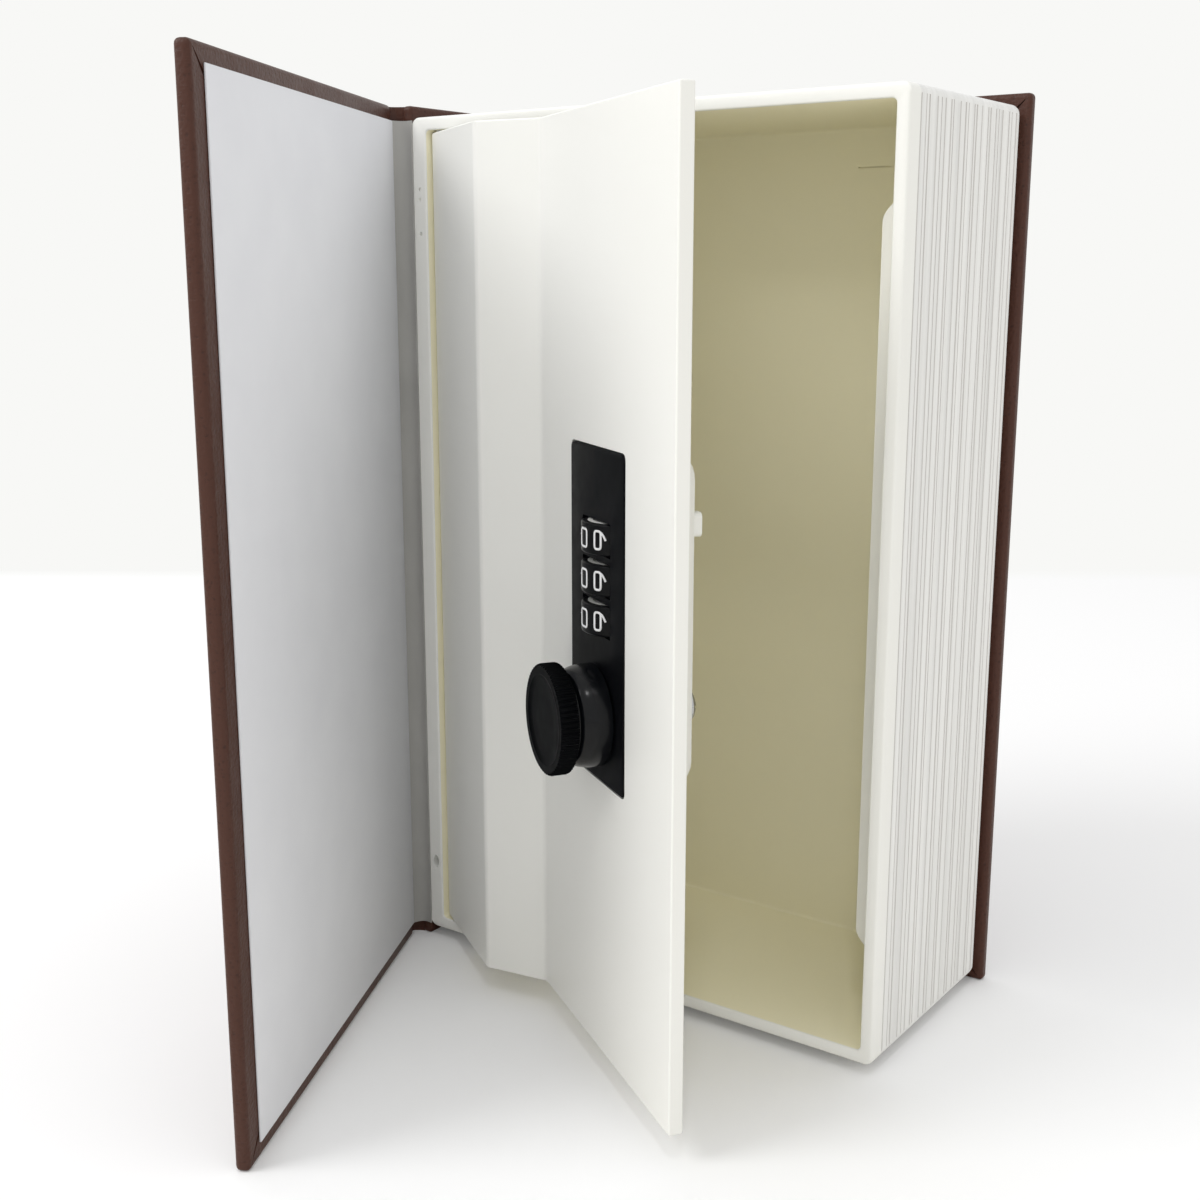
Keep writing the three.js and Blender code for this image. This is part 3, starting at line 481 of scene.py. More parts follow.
# The outline is cut where the lines begin and where they are deep, and the points between are pressed in.
def pressLines(piece):
    spec = blockSpec
    low = at(0, 0, spec["bottom"])
    high = at(spec["width"], 0, spec["bottom"] + spec["height"])
    edit(piece)
    for distance in (spec["lineStart"], spec["lineStart"] + spec["lineRise"]):
        for point, normal in ((low.z + mm(distance), (0, 0, 1)), (high.z - mm(distance), (0, 0, 1)),
                              (low.x + mm(distance), (1, 0, 0)), (high.x - mm(distance), (1, 0, 0))):
            bpy.ops.mesh.select_all(action="SELECT")
            bpy.ops.mesh.bisect(plane_co=(point, 0, point), plane_no=normal)
    start = mm(spec["lineStart"] + spec["lineRise"] / 2)
    depths = [(at(0, y, 0).y, mm(depth)) for y, depth, width in lineRows()]
    cage = bmesh.from_edit_mesh(piece.data)
    for vertex in cage.verts:
        place = vertex.co.copy()
        depth = sum(depth for y, depth in depths if abs(place.y - y) < touching)
        if low.z + start < place.z < high.z - start and abs(place.x - high.x) < touching:
            vertex.co.x -= depth
        if low.x + start < place.x < high.x - start:
            if abs(place.z - high.z) < touching:
                vertex.co.z -= depth
            elif abs(place.z - low.z) < touching:
                vertex.co.z += depth
    bmesh.update_edit_mesh(piece.data)
    for side in (-1, 1):  # the cuts come out of the front and the back, which stay one face each
        pick(piece, "FACE", lambda middle, normal: normal.y * side > 0.99)
        bpy.ops.mesh.dissolve_faces()
    leaveEdit()


# The hollow's lowest corner at the mouth and its highest at the back wall.
def hollowBox():
    spec = blockSpec
    return (at(spec["stile"], 0, spec["bottom"] + spec["endWall"]),
            at(spec["width"] - spec["foreEdgeWall"], spec["depth"] - spec["backWall"],
               spec["bottom"] + spec["height"] - spec["endWall"]))


def inHollow(place):
    low, high = hollowBox()
    return (low.x - touching < place.x < high.x + touching
            and low.z - touching < place.z < high.z + touching)


def hollowOut(piece):
    spec = blockSpec
    low, high = hollowBox()
    hollow = addCube("hollow", low - Vector((0, mm(past), 0)), high)
    edit(hollow)
    pickDeepEdges(hollow)
    roundPicked(spec["cavityCorner"], 4)
    pick(hollow, "EDGE", lambda middle, along: abs(middle.y - high.y) < touching)
    roundPicked(spec["cavityBack"], 4)
    leaveEdit()
    combine(piece, hollow, "DIFFERENCE")
    edit(piece)  # a small round runs along the mouth of the hollow
    pick(piece, "EDGE", lambda middle, along: abs(middle.y - low.y) < touching and inHollow(middle))
    roundPicked(spec["mouth"], 3)
    leaveEdit()


# Marks of the mould: three vents (x, z, radius, depth) and a slot in the stile, a fine line on the back wall.
def markBlock(piece):
    spec = blockSpec
    for x, z, radius, depth in spec["vents"]:
        combine(piece, addCylinder("vent", at(x, 0, z), radius, 2 * depth, 16, "Y"), "DIFFERENCE")
    middle = at(spec["slotX"], 0, spec["slotZ"])
    hole = addCylinder("slotHole", middle, spec["slotHalfWidth"], 2 * spec["slotDepth"], 24, "Y")
    editAll(hole)
    bpy.ops.transform.resize(value=(1, 1, spec["slotHalfHeight"] / spec["slotHalfWidth"]),
                             center_override=middle)
    leaveEdit()
    combine(piece, hole, "DIFFERENCE")
    back = spec["depth"] - spec["backWall"]
    z, half = spec["scratchZ"], spec["scratchHalf"]
    line = addCube("line", at(spec["scratchStart"], back - past, z - half),
                   at(spec["scratchEnd"], back + spec["scratchDepth"], z + half))
    combine(piece, line, "DIFFERENCE")


# The lip grows upwards; it swings out of the wall at its foot and back into it at its head.
def growLip():
    spec = blockSpec
    root = spec["foreEdgeWall"] / 2
    wall = spec["width"] - root
    low = spec["bottom"] + spec["lipBottom"]
    high = spec["bottom"] + spec["lipTop"]
    levels = []
    for i in range(spec["lipSteps"] + 1):
        t = i / spec["lipSteps"]
        levels.append((low + spec["lipSweep"] * t, root + spec["lipWidth"] * (3 * t * t - 2 * t ** 3)))
    levels += [(high - (z - low), width) for z, width in reversed(levels)]
    z, width = low, root + spec["lipHair"]
    lip = addCube("lip", at(wall - width, spec["lipFront"], z - spec["lipFoot"]),
                  at(wall, spec["lipFront"] + spec["lipThickness"], z))
    edit(lip)
    pick(lip, "FACE", lambda middle, normal: normal.z > 0.9)
    for nextZ, nextWidth in levels[1:]:
        extrudePicked((0, 0, mm(nextZ - z)))
        bpy.ops.transform.resize(value=(nextWidth / width, 1, 1), center_override=at(wall, 0, nextZ))
        z, width = nextZ, nextWidth
    leaveEdit()
    softenEdges(lip, spec["lipRound"], 3, 50)
    return lip


def makePageBlock():
    spec = blockSpec
    piece = growBlock()
    pressLines(piece)
    hollowOut(piece)
    markBlock(piece)
    lip = growLip()
    for owner in (piece, lip):
        coat(owner, whiteAbs, pageLines, hollowShadeAbs, grooveShadeAbs)
    mouthEnd = at(0, spec["mouth"] * 2, 0).y
    backWall = at(0, spec["depth"] - spec["backWall"] / 2, 0).y
    lineStart = at(0, spec["plainRim"] - spec["lineMargin"], 0).y
    grooves = [(at(0, y, 0).y, mm(width / 2)) for y, depth, width in lineRows()]
    for face in piece.data.polygons:
        middle = face.center
        # Inside the hollow, past the round at the mouth, the walls take the ivory copy: painted warm shade.
        if inHollow(middle):
            face.material_index = 2 if mouthEnd < middle.y < backWall else 0
        elif middle.y > lineStart:
            # Faces in the pressed grooves take the darker copy: painted shade in the grooves.
            pressed = abs(face.normal.y) > 0.3 and any(abs(middle.y - y) < half for y, half in grooves)
            face.material_index = 3 if pressed else 1
    joinInto(piece, [lip])
    smooth(piece, 30)
    handOver(piece, "pageBlock", "case", "box_shell")


makePageBlock()
print("page block made")


# Door: its outer face is drawn as a strip with two bends, then given its wall.

doorSpec = {
    "hingeX": 5.5, "hingeY": 2.4, "barrel": 1.6, "thickness": 2.6,
    "flat": 28.3, "slope": 10.4, "recess": 7.8, "end": 105.4, "bottom": 5.5, "top": 173.3,
    "bendRadius": 0.8, "bendSpan": 3, "edgeRound": 0.35,
    "lockX": 72.7, "lockZ": 87.4, "seatWidth": 25.5, "seatHeight": 59.5, "seatCorner": 1.2, "ledge": 1.5,
    "seatDepth": 1.3,
}


def seatTool(name, shrink, front, back):
    spec = doorSpec
    halfWidth = spec["seatWidth"] / 2 - shrink
    halfHeight = spec["seatHeight"] / 2 - shrink
    tool = addCube(name, at(spec["lockX"] - halfWidth, front, spec["lockZ"] - halfHeight),
                   at(spec["lockX"] + halfWidth, back, spec["lockZ"] + halfHeight))
    edit(tool)
    pickDeepEdges(tool)
    roundPicked(spec["seatCorner"], 4)
    leaveEdit()
    return tool


def makeDoor():
    spec = doorSpec
    face = spec["hingeY"] - spec["barrel"]
    panel = spec["hingeY"] + spec["recess"]
    height = spec["top"] - spec["bottom"]
    middleZ = spec["bottom"] + height / 2
    flatEnd = spec["hingeX"] + spec["flat"]
    panelStart = flatEnd + spec["slope"]
    piece = addSheet("door", at(spec["hingeX"] + spec["flat"] / 2, face, middleZ), spec["flat"], height)
    edit(piece)
    pick(piece, "EDGE", lambda middle, along: abs(middle.x - at(flatEnd, 0, 0).x) < touching)
    extrudePicked((mm(spec["slope"]), mm(panel - face), 0))
    extrudePicked((mm(spec["end"] - panelStart), 0, 0))
    leaveEdit()
    modify(piece, "SOLIDIFY", thickness=mm(spec["thickness"]), offset=-1, use_even_offset=True)
    softenEdges(piece, spec["edgeRound"], 3, 60)
    edit(piece)
    start, end = at(flatEnd - spec["bendSpan"], 0, 0).x, at(panelStart + spec["bendSpan"], 0, 0).x
    pick(piece, "EDGE", lambda middle, along: abs(along.z) > 0.9 * along.length and start < middle.x < end)
    roundPicked(spec["bendRadius"], 5)
    leaveEdit()
    axis = at(spec["hingeX"], spec["hingeY"], middleZ)
    barrel = addCylinder("barrel", axis, spec["barrel"], height, 40, "Z")
    softenEdges(barrel, spec["edgeRound"], 3, 60)
    combine(piece, barrel, "UNION")
    combine(piece, seatTool("seat", 0, panel - past, panel + spec["seatDepth"]), "DIFFERENCE")
    combine(piece, seatTool("through", spec["ledge"], panel - past, panel + spec["thickness"] + past),
            "DIFFERENCE")
    smooth(piece, 30)
    modify(piece, "WEIGHTED_NORMAL", keep_sharp=True)
    swingOpen(piece, "door_hinge")
    coat(piece, whiteAbs)
    handOver(piece, "doorLeaf", "door", "door_panel")


makeDoor()
print("door made")


# Front cover: leatherette over board, with mitred turn-ins and the endpaper on top.

coverSpec = {
    "start": 14.7, "end": 109.7, "outer": -3.4, "inner": -0.8, "height": 178.8, "edgeRound": 0.9,
    "sideMargin": 4.5, "endMargin": 3, "paperLift": 0.1, "paperThickness": 0.3, "paperRound": 0.12,
}
mitreSpec = {"near": 1.2, "far": 4.9, "gap": 1.1, "narrowing": 0.2, "depth": 0.42}


# A board as the leatherette turns round it, with soft edges.
def roundedBoard(name, low, high):
    board = addCube(name, low, high)
    editAll(board)
    roundPicked(coverSpec["edgeRound"], 4)
    leaveEdit()
    return board


# At a corner the two turned-in edges meet with a narrow gap that opens toward the endpaper.
def makeMitre(piece, cornerX, cornerZ, down, lowY, highY):
    near, far, half = mitreSpec["near"], mitreSpec["far"], mitreSpec["gap"] / 2
    wedge = addCube("wedge", at(cornerX - far, lowY, cornerZ - half),
                    at(cornerX - near, highY, cornerZ + half))
    edit(wedge)
    pick(wedge, "FACE", lambda middle, normal: normal.x > 0.9)
    bpy.ops.transform.resize(value=(1, 1, mitreSpec["narrowing"]),
                             center_override=at(cornerX - near, 0, cornerZ))
    bpy.ops.transform.translate(value=(0, 0, down * mm(near)))
    pick(wedge, "FACE", lambda middle, normal: normal.x < -0.9)
    bpy.ops.transform.translate(value=(0, 0, down * mm(far)))
    leaveEdit()
    combine(piece, wedge, "DIFFERENCE")


def makeFrontCover():
    spec = coverSpec
    piece = roundedBoard("frontCover", at(spec["start"], spec["outer"], 0),
                         at(spec["end"], spec["inner"], spec["height"]))
    bottom = spec["inner"] - mitreSpec["depth"]
    makeMitre(piece, spec["end"], spec["height"], -1, bottom, spec["inner"] + past)
    makeMitre(piece, spec["end"], 0, 1, bottom, spec["inner"] + past)
    smooth(piece, 35)
    swingOpen(piece, "cover_hinge")
    coat(piece, leatherette)
    handOver(piece, "frontCover", "cover", "front_wrap")


def makeFrontPaper():
    spec = coverSpec
    lift, margin = spec["paperLift"], spec["endMargin"]
    paper = addCube("paper", at(spec["start"], spec["inner"] + lift / 2, margin),
                    at(spec["end"] - spec["sideMargin"], spec["inner"] + lift + spec["paperThickness"],
                       spec["height"] - margin))
    softenEdges(paper, spec["paperRound"])
    smooth(paper)
    swingOpen(paper, "cover_hinge")
    coat(paper, endpaper)
    handOver(paper, "frontPaper", "cover", "front_endpaper")


makeFrontCover()
makeFrontPaper()
print("front cover made")


# Spine and back cover are one sheet of leatherette over two boards, sunk along the joint between them.

caseSpec = {
    "spineOuter": -2.9, "spineInner": -0.3, "spineFront": 0.2, "backInner": 50.1, "backOuter": 52.7,
    "backStart": 8, "end": 109.7, "height": 178.8, "wrap": 0.45, "lap": 1, "jointInset": 0.1,
}


def makeCase():
    spec = caseSpec
    piece = roundedBoard("backCover", at(spec["backStart"], spec["backInner"], 0),
                         at(spec["end"], spec["backOuter"], spec["height"]))
    spine = roundedBoard("spine", at(spec["spineOuter"], spec["spineFront"], 0),
                         at(spec["spineInner"], spec["backOuter"], spec["height"]))
    joint = addCube("sunkJoint", at(spec["spineInner"] - spec["lap"], spec["backInner"], spec["jointInset"]),
                    at(spec["backStart"] + spec["lap"], spec["backInner"] + spec["wrap"],
                       spec["height"] - spec["jointInset"]))
    combine(piece, joint, "UNION")
    bottom = spec["backInner"] + mitreSpec["depth"]
    makeMitre(piece, spec["end"], spec["height"], -1, spec["backInner"] - past, bottom)
    makeMitre(piece, spec["end"], 0, 1, spec["backInner"] - past, bottom)
    combine(piece, spine, "UNION")
    smooth(piece, 40)
    coat(piece, leatherette)
    handOver(piece, "backAndSpine", "case", "case_wrap")


makeCase()
print("back cover and spine made")


# The joint's cloth and the paper beside it bend between the spine and the front cover.

jointSpec = {
    "height": 178.8, "steps": 10, "wrap": 0.45, "endGap": 0.2, "clothLift": 0.35, "clothLap": 0.4,
    "clothBulge": (-1.6, 1.1), "paper": 0.3, "margin": 3, "paperFoot": (0.3, -0.2), "paperLift": 0.25,
    "paperLap": 0.5, "paperBulge": (-1.3, 1.9),
}


# Where a point of the closed front cover stands in the photograph.
def openCover(x, y):
    pivot, turn = openingOf("cover_hinge")
    return pivot + turn @ (at(x, y, 0) - pivot)


def makeStrip(name, points, thickness, bottom, top):
    clearSelection()
    first, second = points[:2]
    bpy.ops.mesh.primitive_plane_add(size=1, location=(0, 0, 0))
    piece = bpy.context.active_object
    edit(piece)
    cage = bmesh.from_edit_mesh(piece.data)
    corners = [Vector((first.x, first.y, mm(bottom))), Vector((second.x, second.y, mm(bottom))),
               Vector((first.x, first.y, mm(top))), Vector((second.x, second.y, mm(top)))]
    for vertex, place in zip(cage.verts, corners):
        vertex.co = place
    bmesh.update_edit_mesh(piece.data)
    pick(piece, "EDGE", lambda middle, along: (middle.xy - second.xy).length < touching)
    for last, point in zip(points[1:], points[2:]):
        extrudePicked((point.x - last.x, point.y - last.y, 0))
    leaveEdit()
    modify(piece, "SOLIDIFY", thickness=mm(thickness), offset=0)
    piece.name = name
    faceOut(piece)
    smooth(piece, 50)
    return piece


# A curve from start to end whose middle is pulled aside by the bulge.
def bowed(start, end, bulge):
    pulled = (start + end) / 2 + Vector((mm(bulge[0]), mm(bulge[1]), 0))
    points = []
    for i in range(jointSpec["steps"] + 1):
        t = i / jointSpec["steps"]
        points.append(start * (1 - t) ** 2 + pulled * (2 * t * (1 - t)) + end * t ** 2)
    return points


def makeJointCloth():
    spec = jointSpec
    lift = spec["wrap"] / 2 + spec["clothLift"]
    start = at(caseSpec["spineOuter"] + lift, caseSpec["spineFront"] + spec["clothLap"], 0)
    end = openCover(coverSpec["start"] + spec["clothLap"], coverSpec["outer"] + lift)
    cloth = makeStrip("jointCloth", bowed(start, end, spec["clothBulge"]), spec["wrap"], spec["endGap"],
                      spec["height"] - spec["endGap"])
    edit(cloth)
    for height in (spec["margin"], spec["height"] - spec["margin"]):
        bpy.ops.mesh.select_all(action="SELECT")
        bpy.ops.mesh.bisect(plane_co=(0, 0, mm(height)), plane_no=(0, 0, 1))
    leaveEdit()
    # Its paper lining is darker grey than the endpaper: painted shade for the valley of the joint.
    coat(cloth, leatherette, jointShadePaper)
    for face in cloth.data.polygons:  # its inner side is lined with paper, but not at the turned-in ends
        inside = face.normal.x - face.normal.y > 0.3
        lined = mm(spec["margin"]) < face.center.z < mm(spec["height"] - spec["margin"])
        face.material_index = 1 if inside and lined else 0
    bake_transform(cloth)
    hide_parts("joint_cloth")


def makeJointPaper():
    spec = jointSpec
    start = at(*spec["paperFoot"], 0)
    end = openCover(coverSpec["start"] + spec["paperLap"], coverSpec["inner"] + spec["paperLift"])
    paper = makeStrip("jointPaper", bowed(start, end, spec["paperBulge"]), spec["paper"], spec["margin"],
                      spec["height"] - spec["margin"])
    # Darker grey than the endpaper: painted shade for the valley of the joint.
    coat(paper, jointShadePaper)
    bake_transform(paper)
    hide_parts("joint_paper")


makeJointCloth()
makeJointPaper()
print("joints made")


# Code lock: plate, dials and knob are made in the closed door and swung out with it.

lockSpec = {
    "x": 72.7, "y": 10.2, "z": 87.4, "dials": 3, "topDial": 14.16, "dialPitch": 7.08, "knobDrop": 17.7,
}
plateSpec = {
    "width": 25, "height": 59, "thickness": 1.4, "proud": 0.2, "corner": 1.2, "edge": 0.25, "slotHalf": 6.5,
    "dialGap": 0.25, "knobHole": 3.5,
}
# A wheel's ends are white ABS out to the given radius: a painted highlight for the glint on their top faces.
dialSpec = {
    "radius": 7, "height": 5.38, "show": 2.5, "round": 0.4, "sides": 96, "paintedGlintEnd": 5.9, "endRing": 1,
    "endSink": 0.93,
}
digitSpec = {
    "width": 3.1, "height": 2.3, "stroke": 0.25, "depth": 0.13, "corner": 0.2, "cornerShare": 0.45,
    "pointGap": 0.2,
}


# A point of the lock in the closed door: across, back from its seat and up from its middle.
def lockPoint(x, depth, rise):
    return at(lockSpec["x"] + x, lockSpec["y"] + depth, lockSpec["z"] + rise)


def knobPoint(depth):
    return lockPoint(0, depth, -lockSpec["knobDrop"])


def dialRises():
    return [lockSpec["topDial"] - i * lockSpec["dialPitch"] for i in range(lockSpec["dials"])]


def makePlate():
    spec = plateSpec
    halfWidth, halfHeight = spec["width"] / 2, spec["height"] / 2
    back = spec["thickness"] - spec["proud"]
    piece = addCube("plate", lockPoint(-halfWidth, -spec["proud"], -halfHeight),
                    lockPoint(halfWidth, back, halfHeight))
    edit(piece)
    pickDeepEdges(piece)
    roundPicked(spec["corner"], 5)
    front = lockPoint(0, -spec["proud"], 0).y
    pick(piece, "EDGE", lambda middle, along: abs(middle.y - front) < touching)
    roundPicked(spec["edge"], 3)
    leaveEdit()
    half = dialSpec["height"] / 2 + spec["dialGap"]
    for rise in dialRises():
        slot = addCube("slot", lockPoint(-spec["slotHalf"], -spec["proud"] - past, rise - half),
                       lockPoint(spec["slotHalf"], back + past, rise + half))
        combine(piece, slot, "DIFFERENCE")
    hole = addCylinder("hole", knobPoint(0), spec["knobHole"], 2 * (back + past), 48, "Y")
    combine(piece, hole, "DIFFERENCE")
    smooth(piece, 30)
    swingOpen(piece, "door_hinge")
    coat(piece, plateBlack)
    handOver(piece, "lockPlate", "door", "lock_faceplate")


# Digits of one even line, as on the dials: closed or open strokes in a box one wide and one high.
ring = [(0, 0), (1, 0), (1, 1), (0, 1)]
upperRing = [(0, 0.42), (1, 0.42), (1, 1), (0, 1)]
lowerRing = [(1, 0.58), (0, 0.58), (0, 0), (1, 0)]
digitStrokes = {
    0: [(True, ring)],
    1: [(False, [(0.22, 0.78), (0.55, 1), (0.55, 0)])],
    2: [(False, [(0, 0.82), (0, 1), (1, 1), (1, 0.52), (0, 0.46), (0, 0), (1, 0)])],
    3: [(False, [(0, 1), (1, 1), (0.45, 0.56), (1, 0.5), (1, 0), (0, 0)])],
    4: [(False, [(0.75, 0), (0.75, 1), (0, 0.3), (1, 0.3)])],
    5: [(False, [(1, 1), (0, 1), (0, 0.56), (1, 0.56), (1, 0), (0, 0)])],
    6: [(True, lowerRing), (False, [(0, 0.4), (0.12, 0.72), (0.5, 1)])],
    7: [(False, [(0, 1), (1, 1), (0.35, 0)])],
    8: [(True, upperRing), (True, [(0, 0), (1, 0), (1, 0.42), (0, 0.42)])],
    9: [(True, upperRing), (False, [(1, 0.6), (0.88, 0.28), (0.5, 0)])],
}


# Rounds the corners of a stroke and puts points along it, so that it can follow the wheel.
def finePath(closed, points):
    share, corner = digitSpec["cornerShare"], digitSpec["corner"]
    count = len(points)
    path = []
    for i, point in enumerate(points):
        here = Vector(point)
        if not closed and i in (0, count - 1):
            path.append(here)
            continue
        before, after = Vector(points[i - 1]) - here, Vector(points[(i + 1) % count]) - here
        start = here + before * min(share, corner / before.length)
        end = here + after * min(share, corner / after.length)
        for t in (0, 0.25, 0.5, 0.75, 1):
            path.append(start * (1 - t) ** 2 + here * (2 * t * (1 - t)) + end * t ** 2)
    fine = []
    pairs = zip(path, path[1:] + path[:1]) if closed else zip(path, path[1:])
    for start, end in pairs:
        steps = max(1, round((end - start).length / digitSpec["pointGap"]))
        fine += [start.lerp(end, step / steps) for step in range(steps)]
    return fine if closed else fine + [path[-1]]


def drawStroke(closed, points):
    clearSelection()
    line = bpy.data.curves.new("stroke", "CURVE")
    line.dimensions = "3D"
    line.bevel_depth = mm(digitSpec["stroke"])
    line.bevel_resolution = 1
    line.use_fill_caps = True
    spline = line.splines.new("POLY")
    spline.points.add(len(points) - 1)
    for knot, place in zip(spline.points, points):
        knot.co = (*place, 1)
    spline.use_cyclic_u = closed
    holder = bpy.data.objects.new("stroke", line)
    bpy.context.collection.objects.link(holder)
    take(holder)
    bpy.ops.object.convert(target="MESH")
    return bpy.context.active_object


# The digits lie on their side: they are read with the book's spine up.
def makeDigit(number, angle, rise):
    depth = dialSpec["radius"] - dialSpec["show"]
    reach = dialSpec["radius"] - digitSpec["depth"]
    strokes = []
    for closed, points in digitStrokes[number]:
        places = []
        for u, v in finePath(closed, points):
            turn = angle - (v - 0.5) * digitSpec["height"] / dialSpec["radius"]
            places.append(lockPoint(reach * math.sin(turn), depth - reach * math.cos(turn),
                                    rise + (u - 0.5) * digitSpec["width"]))
        strokes.append(drawStroke(closed, places))
    return strokes


def makeWheel(number, rise):
    spec = dialSpec
    centre = lockPoint(0, spec["radius"] - spec["show"], rise)
    wheel = addCylinder("wheel", centre, spec["radius"], spec["height"], spec["sides"], "Z")
    softenEdges(wheel, spec["round"], 3, 50)
    edit(wheel)
    pick(wheel, "FACE", lambda middle, normal: abs(normal.z) > 0.99)
    bpy.ops.mesh.inset(thickness=mm(spec["radius"] - spec["round"] - spec["paintedGlintEnd"]))
    bpy.ops.mesh.inset(thickness=mm(spec["endRing"]))
    bpy.ops.mesh.extrude_region_move()
    bpy.ops.transform.resize(value=(1, 1, spec["endSink"]), center_override=centre)
    leaveEdit()
    # The wheel's ends get white ABS: a painted highlight for the glint on their top faces.
    coat(wheel, dialBlack, whiteAbs)
    for face in wheel.data.polygons:  # the ends are white ABS, a painted highlight for the glint on the wheels' top faces
        reach = (face.center - centre).xy.length
        face.material_index = 1 if abs(face.normal.z) > 0.75 and reach < mm(spec["paintedGlintEnd"]) else 0
    smooth(wheel, 30)
    swingOpen(wheel, "door_hinge")
    handOver(wheel, f"dialWheel{number}", f"dial_{number}", f"dial_wheel_{number}")


def makeDigits(number, rise):
    strokes = []
    for step in range(10):
        strokes += makeDigit((10 - step) % 10, math.radians(36 * step), rise)
    digits = joinInto(strokes[0], strokes[1:])
    smooth(digits, 60)
    swingOpen(digits, "door_hinge")
    coat(digits, digitInk)
    handOver(digits, f"dialDigits{number}", f"dial_{number}")


# Knob: a ribbed head, a waist behind it and a skirt that swells toward the plate. The dish's curve is in
# shares of its depth and millimetres from its edge, the hub's in shares and radii, the waist's in millimetres
# behind the head and beyond the neck.

knobSpec = {
    "radius": 9.9, "face": -10.2, "headThickness": 3.4, "neck": 7.7, "skirt": 9.2, "skirtHeight": 1.3,
    "dome": 4.3, "back": -0.4, "ribs": 64, "ribDepth": 0.4, "ribSinks": (0, 0.8, 1, 0.8), "dish": 0.4,
    "rim": 1.8, "faceRound": 0.5, "roundShare": 0.3, "skirtRound": 0.2, "domeStart": 0.02, "collarStart": 0.3,
    "dishCurve": ((0.7, 0.5), (1, 1.4)), "hubCurve": ((1, 4), (0.9, 1.6), (0.9, 0.3)),
    "waistCurve": ((0.1, 0.5), (0.3, 0.1), (0.6, 0)),
}


# Grows the picked round face through the given depths and radii.
def growRound(steps, radius, depth):
    for nextDepth, nextRadius in steps:
        extrudePicked((0, mm(nextDepth - depth), 0))
        factor = nextRadius / radius
        bpy.ops.transform.resize(value=(factor, 1, factor), center_override=knobPoint(nextDepth))
        depth, radius = nextDepth, nextRadius


def growKnob():
    spec = knobSpec
    face, radius, neck, edge = spec["face"], spec["radius"], spec["neck"], spec["faceRound"]
    headBack = face + spec["headThickness"]
    inner = radius - spec["rim"]
    first = edge * spec["roundShare"]
    piece = addCylinder("knob", knobPoint((face + headBack) / 2), radius, spec["headThickness"] - 2 * edge,
                        spec["ribs"] * len(spec["ribSinks"]), "Y")
    edit(piece)
    pick(piece, "FACE", lambda middle, normal: normal.y < -0.9)
    steps = [(face + first, radius - first), (face, radius - edge), (face, inner)]
    steps += [(face + spec["dish"] * share, inner - inset) for share, inset in spec["dishCurve"]]
    steps += [(face + spec["dish"] * share, hub) for share, hub in spec["hubCurve"]]
    growRound(steps, radius, face + edge)
    pick(piece, "FACE", lambda middle, normal: normal.y > 0.9 and middle.y > knobPoint(headBack - edge * 2).y)
    steps = [(headBack - first, radius - first), (headBack, radius - edge)]
    steps += [(headBack + behind, neck + beyond) for behind, beyond in spec["waistCurve"]]
    skirtTop = spec["back"] - spec["skirtHeight"]
    start = neck + spec["domeStart"]
    swell = spec["skirt"] - start
    for angle in range(0, 91, 10):
        turn = math.radians(angle)
        steps.append((skirtTop - spec["dome"] * math.cos(turn), start + swell * math.sin(turn)))
    steps += [(spec["back"] - spec["skirtRound"], spec["skirt"]),
              (spec["back"], spec["skirt"] - spec["skirtRound"])]
    growRound(steps, radius, headBack - edge)
    leaveEdit()
    return piece


# The rim sinks between its ribs.
def cutRibs(piece):
    spec = knobSpec
    centre = knobPoint(0)
    headBack = knobPoint(spec["face"] + spec["headThickness"]).y
    sinks = spec["ribSinks"]
    for vertex in piece.data.vertices:
        across = Vector((vertex.co.x - centre.x, 0, vertex.co.z - centre.z))
        if across.length > mm(spec["radius"] - spec["faceRound"] / 2) and vertex.co.y < headBack + touching:
            share = (math.atan2(across.z, across.x) + math.pi) / (2 * math.pi)
            sink = sinks[round(share * spec["ribs"] * len(sinks)) % len(sinks)]
            vertex.co -= across / across.length * mm(spec["ribDepth"] * sink)


def makeKnob():
    piece = growKnob()
    cutRibs(piece)
    faceOut(piece)
    coat(piece, knobBlack, collarBlack)
    collarStart = knobPoint(knobSpec["face"] + knobSpec["headThickness"] + knobSpec["collarStart"]).y
    for part in piece.data.polygons:
        part.material_index = 1 if part.center.y > collarStart else 0
    smooth(piece, 28)
    swingOpen(piece, "door_hinge")
    handOver(piece, "turnKnob", "knob", "knob")


makePlate()
for i, rise in enumerate(dialRises()):
    makeWheel(i + 1, rise)
    makeDigits(i + 1, rise)
makeKnob()
print("lock made")


# The pieces whose shape is right as it stands get their finish: plated steel, unless they are named here.

nodeFinish = {
    "box_shell": whiteAbs, "door_panel": whiteAbs, "lock_back_cover": whiteAbs, "code_lever": whiteAbs,
    "front_board": binderBoard, "back_board": binderBoard, "spine_board": binderBoard,
    "front_wrap": leatherette, "case_wrap": leatherette, "joint_cloth": leatherette,
    "joint_paper": endpaper, "front_endpaper": endpaper,
    "lock_base": chassisBlack, "lock_faceplate": plateBlack, "knob": knobBlack,
    "dial_wheel_1": dialBlack, "dial_wheel_2": dialBlack, "dial_wheel_3": dialBlack,
}
for name, node in frame["nodes"].items():
    node.data.materials.clear()
    node.data.materials.append(nodeFinish.get(name, platedSteel))
print("carried-over pieces finished")


# Stage, light and camera

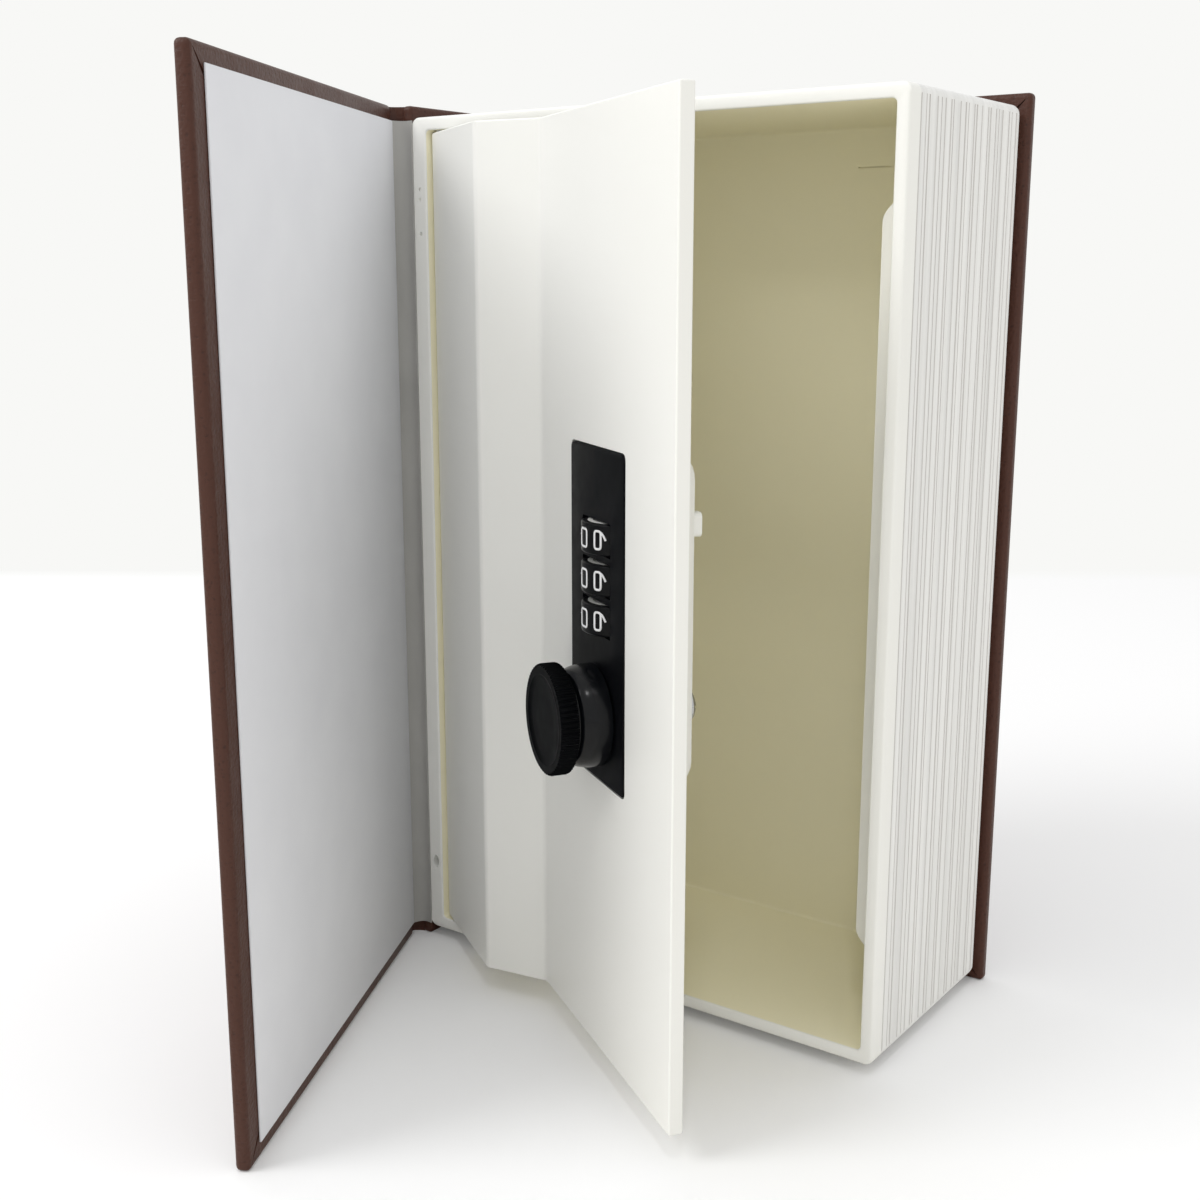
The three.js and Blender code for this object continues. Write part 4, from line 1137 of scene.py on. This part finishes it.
cameraSpec = {
    "x": 218.6, "y": -238.9, "z": 146.55, "yaw": -0.6235, "pitch": 0.2126, "focalPixels": 1531.4,
    "framePixels": 1200, "sensor": 36, "clipStart": 0.01,
}
stageSpec = {
    "floorSize": 12, "wallDistance": 0.737, "wallBlur": 0.012, "fadeStart": 1.2, "fadeEnd": 3,
    "floorColour": "#f3f1ec", "seenColour": "#f4f4f4", "glowColour": "#ffffff", "floorGlow": 0.06,
    "wallColour": "#f8f8f6", "worldColour": "#ffffff", "worldStrength": 0.87,
}
lampSpec = {
    "softKey": {"place": (-0.5, -0.75, 0.85), "size": 0.55, "watts": 4.7},
    "smallLamp": {"place": (0.24, -0.43, 0.95), "size": 0.07, "watts": 0.7},
}
lampTarget = (0, -0.02, 0.09)


# Seen by the camera, the table top glows a little, so that it is white and its shadows pale. Beyond the line
# of the wall and far away it takes the wall's colour.
def makeFloor():
    spec = stageSpec
    clearSelection()
    bpy.ops.mesh.primitive_plane_add(size=spec["floorSize"], location=(0, 0, 0))
    floor = bpy.context.active_object
    floor.name = "floor"
    material = bpy.data.materials.new("paleTableTop")
    material.use_nodes = True
    tree = material.node_tree
    tree.nodes.clear()
    place = addNode(tree, "ShaderNodeTexCoord").outputs["Object"]
    facing = Vector((math.sin(cameraSpec["yaw"]), math.cos(cameraSpec["yaw"]), 0))
    ahead = addNode(tree, "ShaderNodeVectorMath", settings={"operation": "DOT_PRODUCT"}, links={0: place},
                    values={1: facing})
    start = at(cameraSpec["x"], cameraSpec["y"], 0).dot(facing) + spec["wallDistance"]
    wall = addNode(tree, "ShaderNodeMapRange", links={"Value": ahead.outputs["Value"]},
                   values={"From Min": start - spec["wallBlur"], "From Max": start + spec["wallBlur"]})
    reach = addNode(tree, "ShaderNodeVectorMath", settings={"operation": "LENGTH"}, links={0: place})
    fade = addNode(tree, "ShaderNodeMapRange", links={"Value": reach.outputs["Value"]},
                   values={"From Min": spec["fadeStart"], "From Max": spec["fadeEnd"]})
    plain = addNode(tree, "ShaderNodeMath", settings={"operation": "MAXIMUM"},
                    links={0: wall.outputs["Result"], 1: fade.outputs["Result"]})
    lit = addNode(tree, "ShaderNodeBsdfDiffuse", values={"Color": toLinear(spec["floorColour"])})
    seen = addNode(tree, "ShaderNodeBsdfDiffuse", values={"Color": toLinear(spec["seenColour"])})
    glow = addNode(tree, "ShaderNodeEmission",
                   values={"Color": toLinear(spec["glowColour"]), "Strength": spec["floorGlow"]})
    near = addNode(tree, "ShaderNodeAddShader", links={0: seen.outputs[0], 1: glow.outputs[0]})
    far = addNode(tree, "ShaderNodeEmission", values={"Color": toLinear(spec["wallColour"]), "Strength": 1})
    view = addNode(tree, "ShaderNodeMixShader", links={
        "Fac": plain.outputs[0], 1: near.outputs[0], 2: far.outputs[0]})
    path = addNode(tree, "ShaderNodeLightPath")
    mix = addNode(tree, "ShaderNodeMixShader", links={
        "Fac": path.outputs["Is Camera Ray"], 1: lit.outputs[0], 2: view.outputs[0]})
    addNode(tree, "ShaderNodeOutputMaterial", links={"Surface": mix.outputs[0]})
    floor.data.materials.append(material)


def makeWorld():
    world = bpy.data.worlds.new("studio")
    bpy.context.scene.world = world
    world.use_nodes = True
    tree = world.node_tree
    tree.nodes.clear()
    path = addNode(tree, "ShaderNodeLightPath")
    soft = addNode(tree, "ShaderNodeBackground", values={
        "Color": toLinear(stageSpec["worldColour"]), "Strength": stageSpec["worldStrength"]})
    seen = addNode(tree, "ShaderNodeBackground", values={
        "Color": toLinear(stageSpec["wallColour"]), "Strength": 1})
    direct = addNode(tree, "ShaderNodeMath", settings={"operation": "MAXIMUM"},
                     links={0: path.outputs["Is Camera Ray"], 1: path.outputs["Is Glossy Ray"]})
    mix = addNode(tree, "ShaderNodeMixShader", links={
        "Fac": direct.outputs[0], 1: soft.outputs[0], 2: seen.outputs[0]})
    addNode(tree, "ShaderNodeOutputWorld", links={"Surface": mix.outputs[0]})


def addLamp(name, spec):
    lamp = bpy.data.lights.new(name, "AREA")
    lamp.shape = "DISK"
    lamp.size = spec["size"]
    lamp.energy = spec["watts"]
    holder = bpy.data.objects.new(name, lamp)
    bpy.context.collection.objects.link(holder)
    holder.location = spec["place"]
    holder.rotation_euler = (Vector(lampTarget) - Vector(spec["place"])).to_track_quat("-Z", "Y").to_euler()


def makeCamera():
    spec = cameraSpec
    lens = bpy.data.cameras.new("photoCamera")
    lens.sensor_width = spec["sensor"]
    lens.lens = spec["focalPixels"] / spec["framePixels"] * spec["sensor"]
    lens.clip_start = spec["clipStart"]
    camera = bpy.data.objects.new("photoCamera", lens)
    bpy.context.collection.objects.link(camera)
    camera.location = at(spec["x"], spec["y"], spec["z"])
    camera.rotation_euler = (math.pi / 2 - spec["pitch"], 0, -spec["yaw"])
    bpy.context.scene.camera = camera


makeFloor()
makeWorld()
for name, spec in lampSpec.items():
    addLamp(name, spec)
makeCamera()
bpy.context.scene.view_settings.view_transform = "Standard"
print("stage, light and camera made")
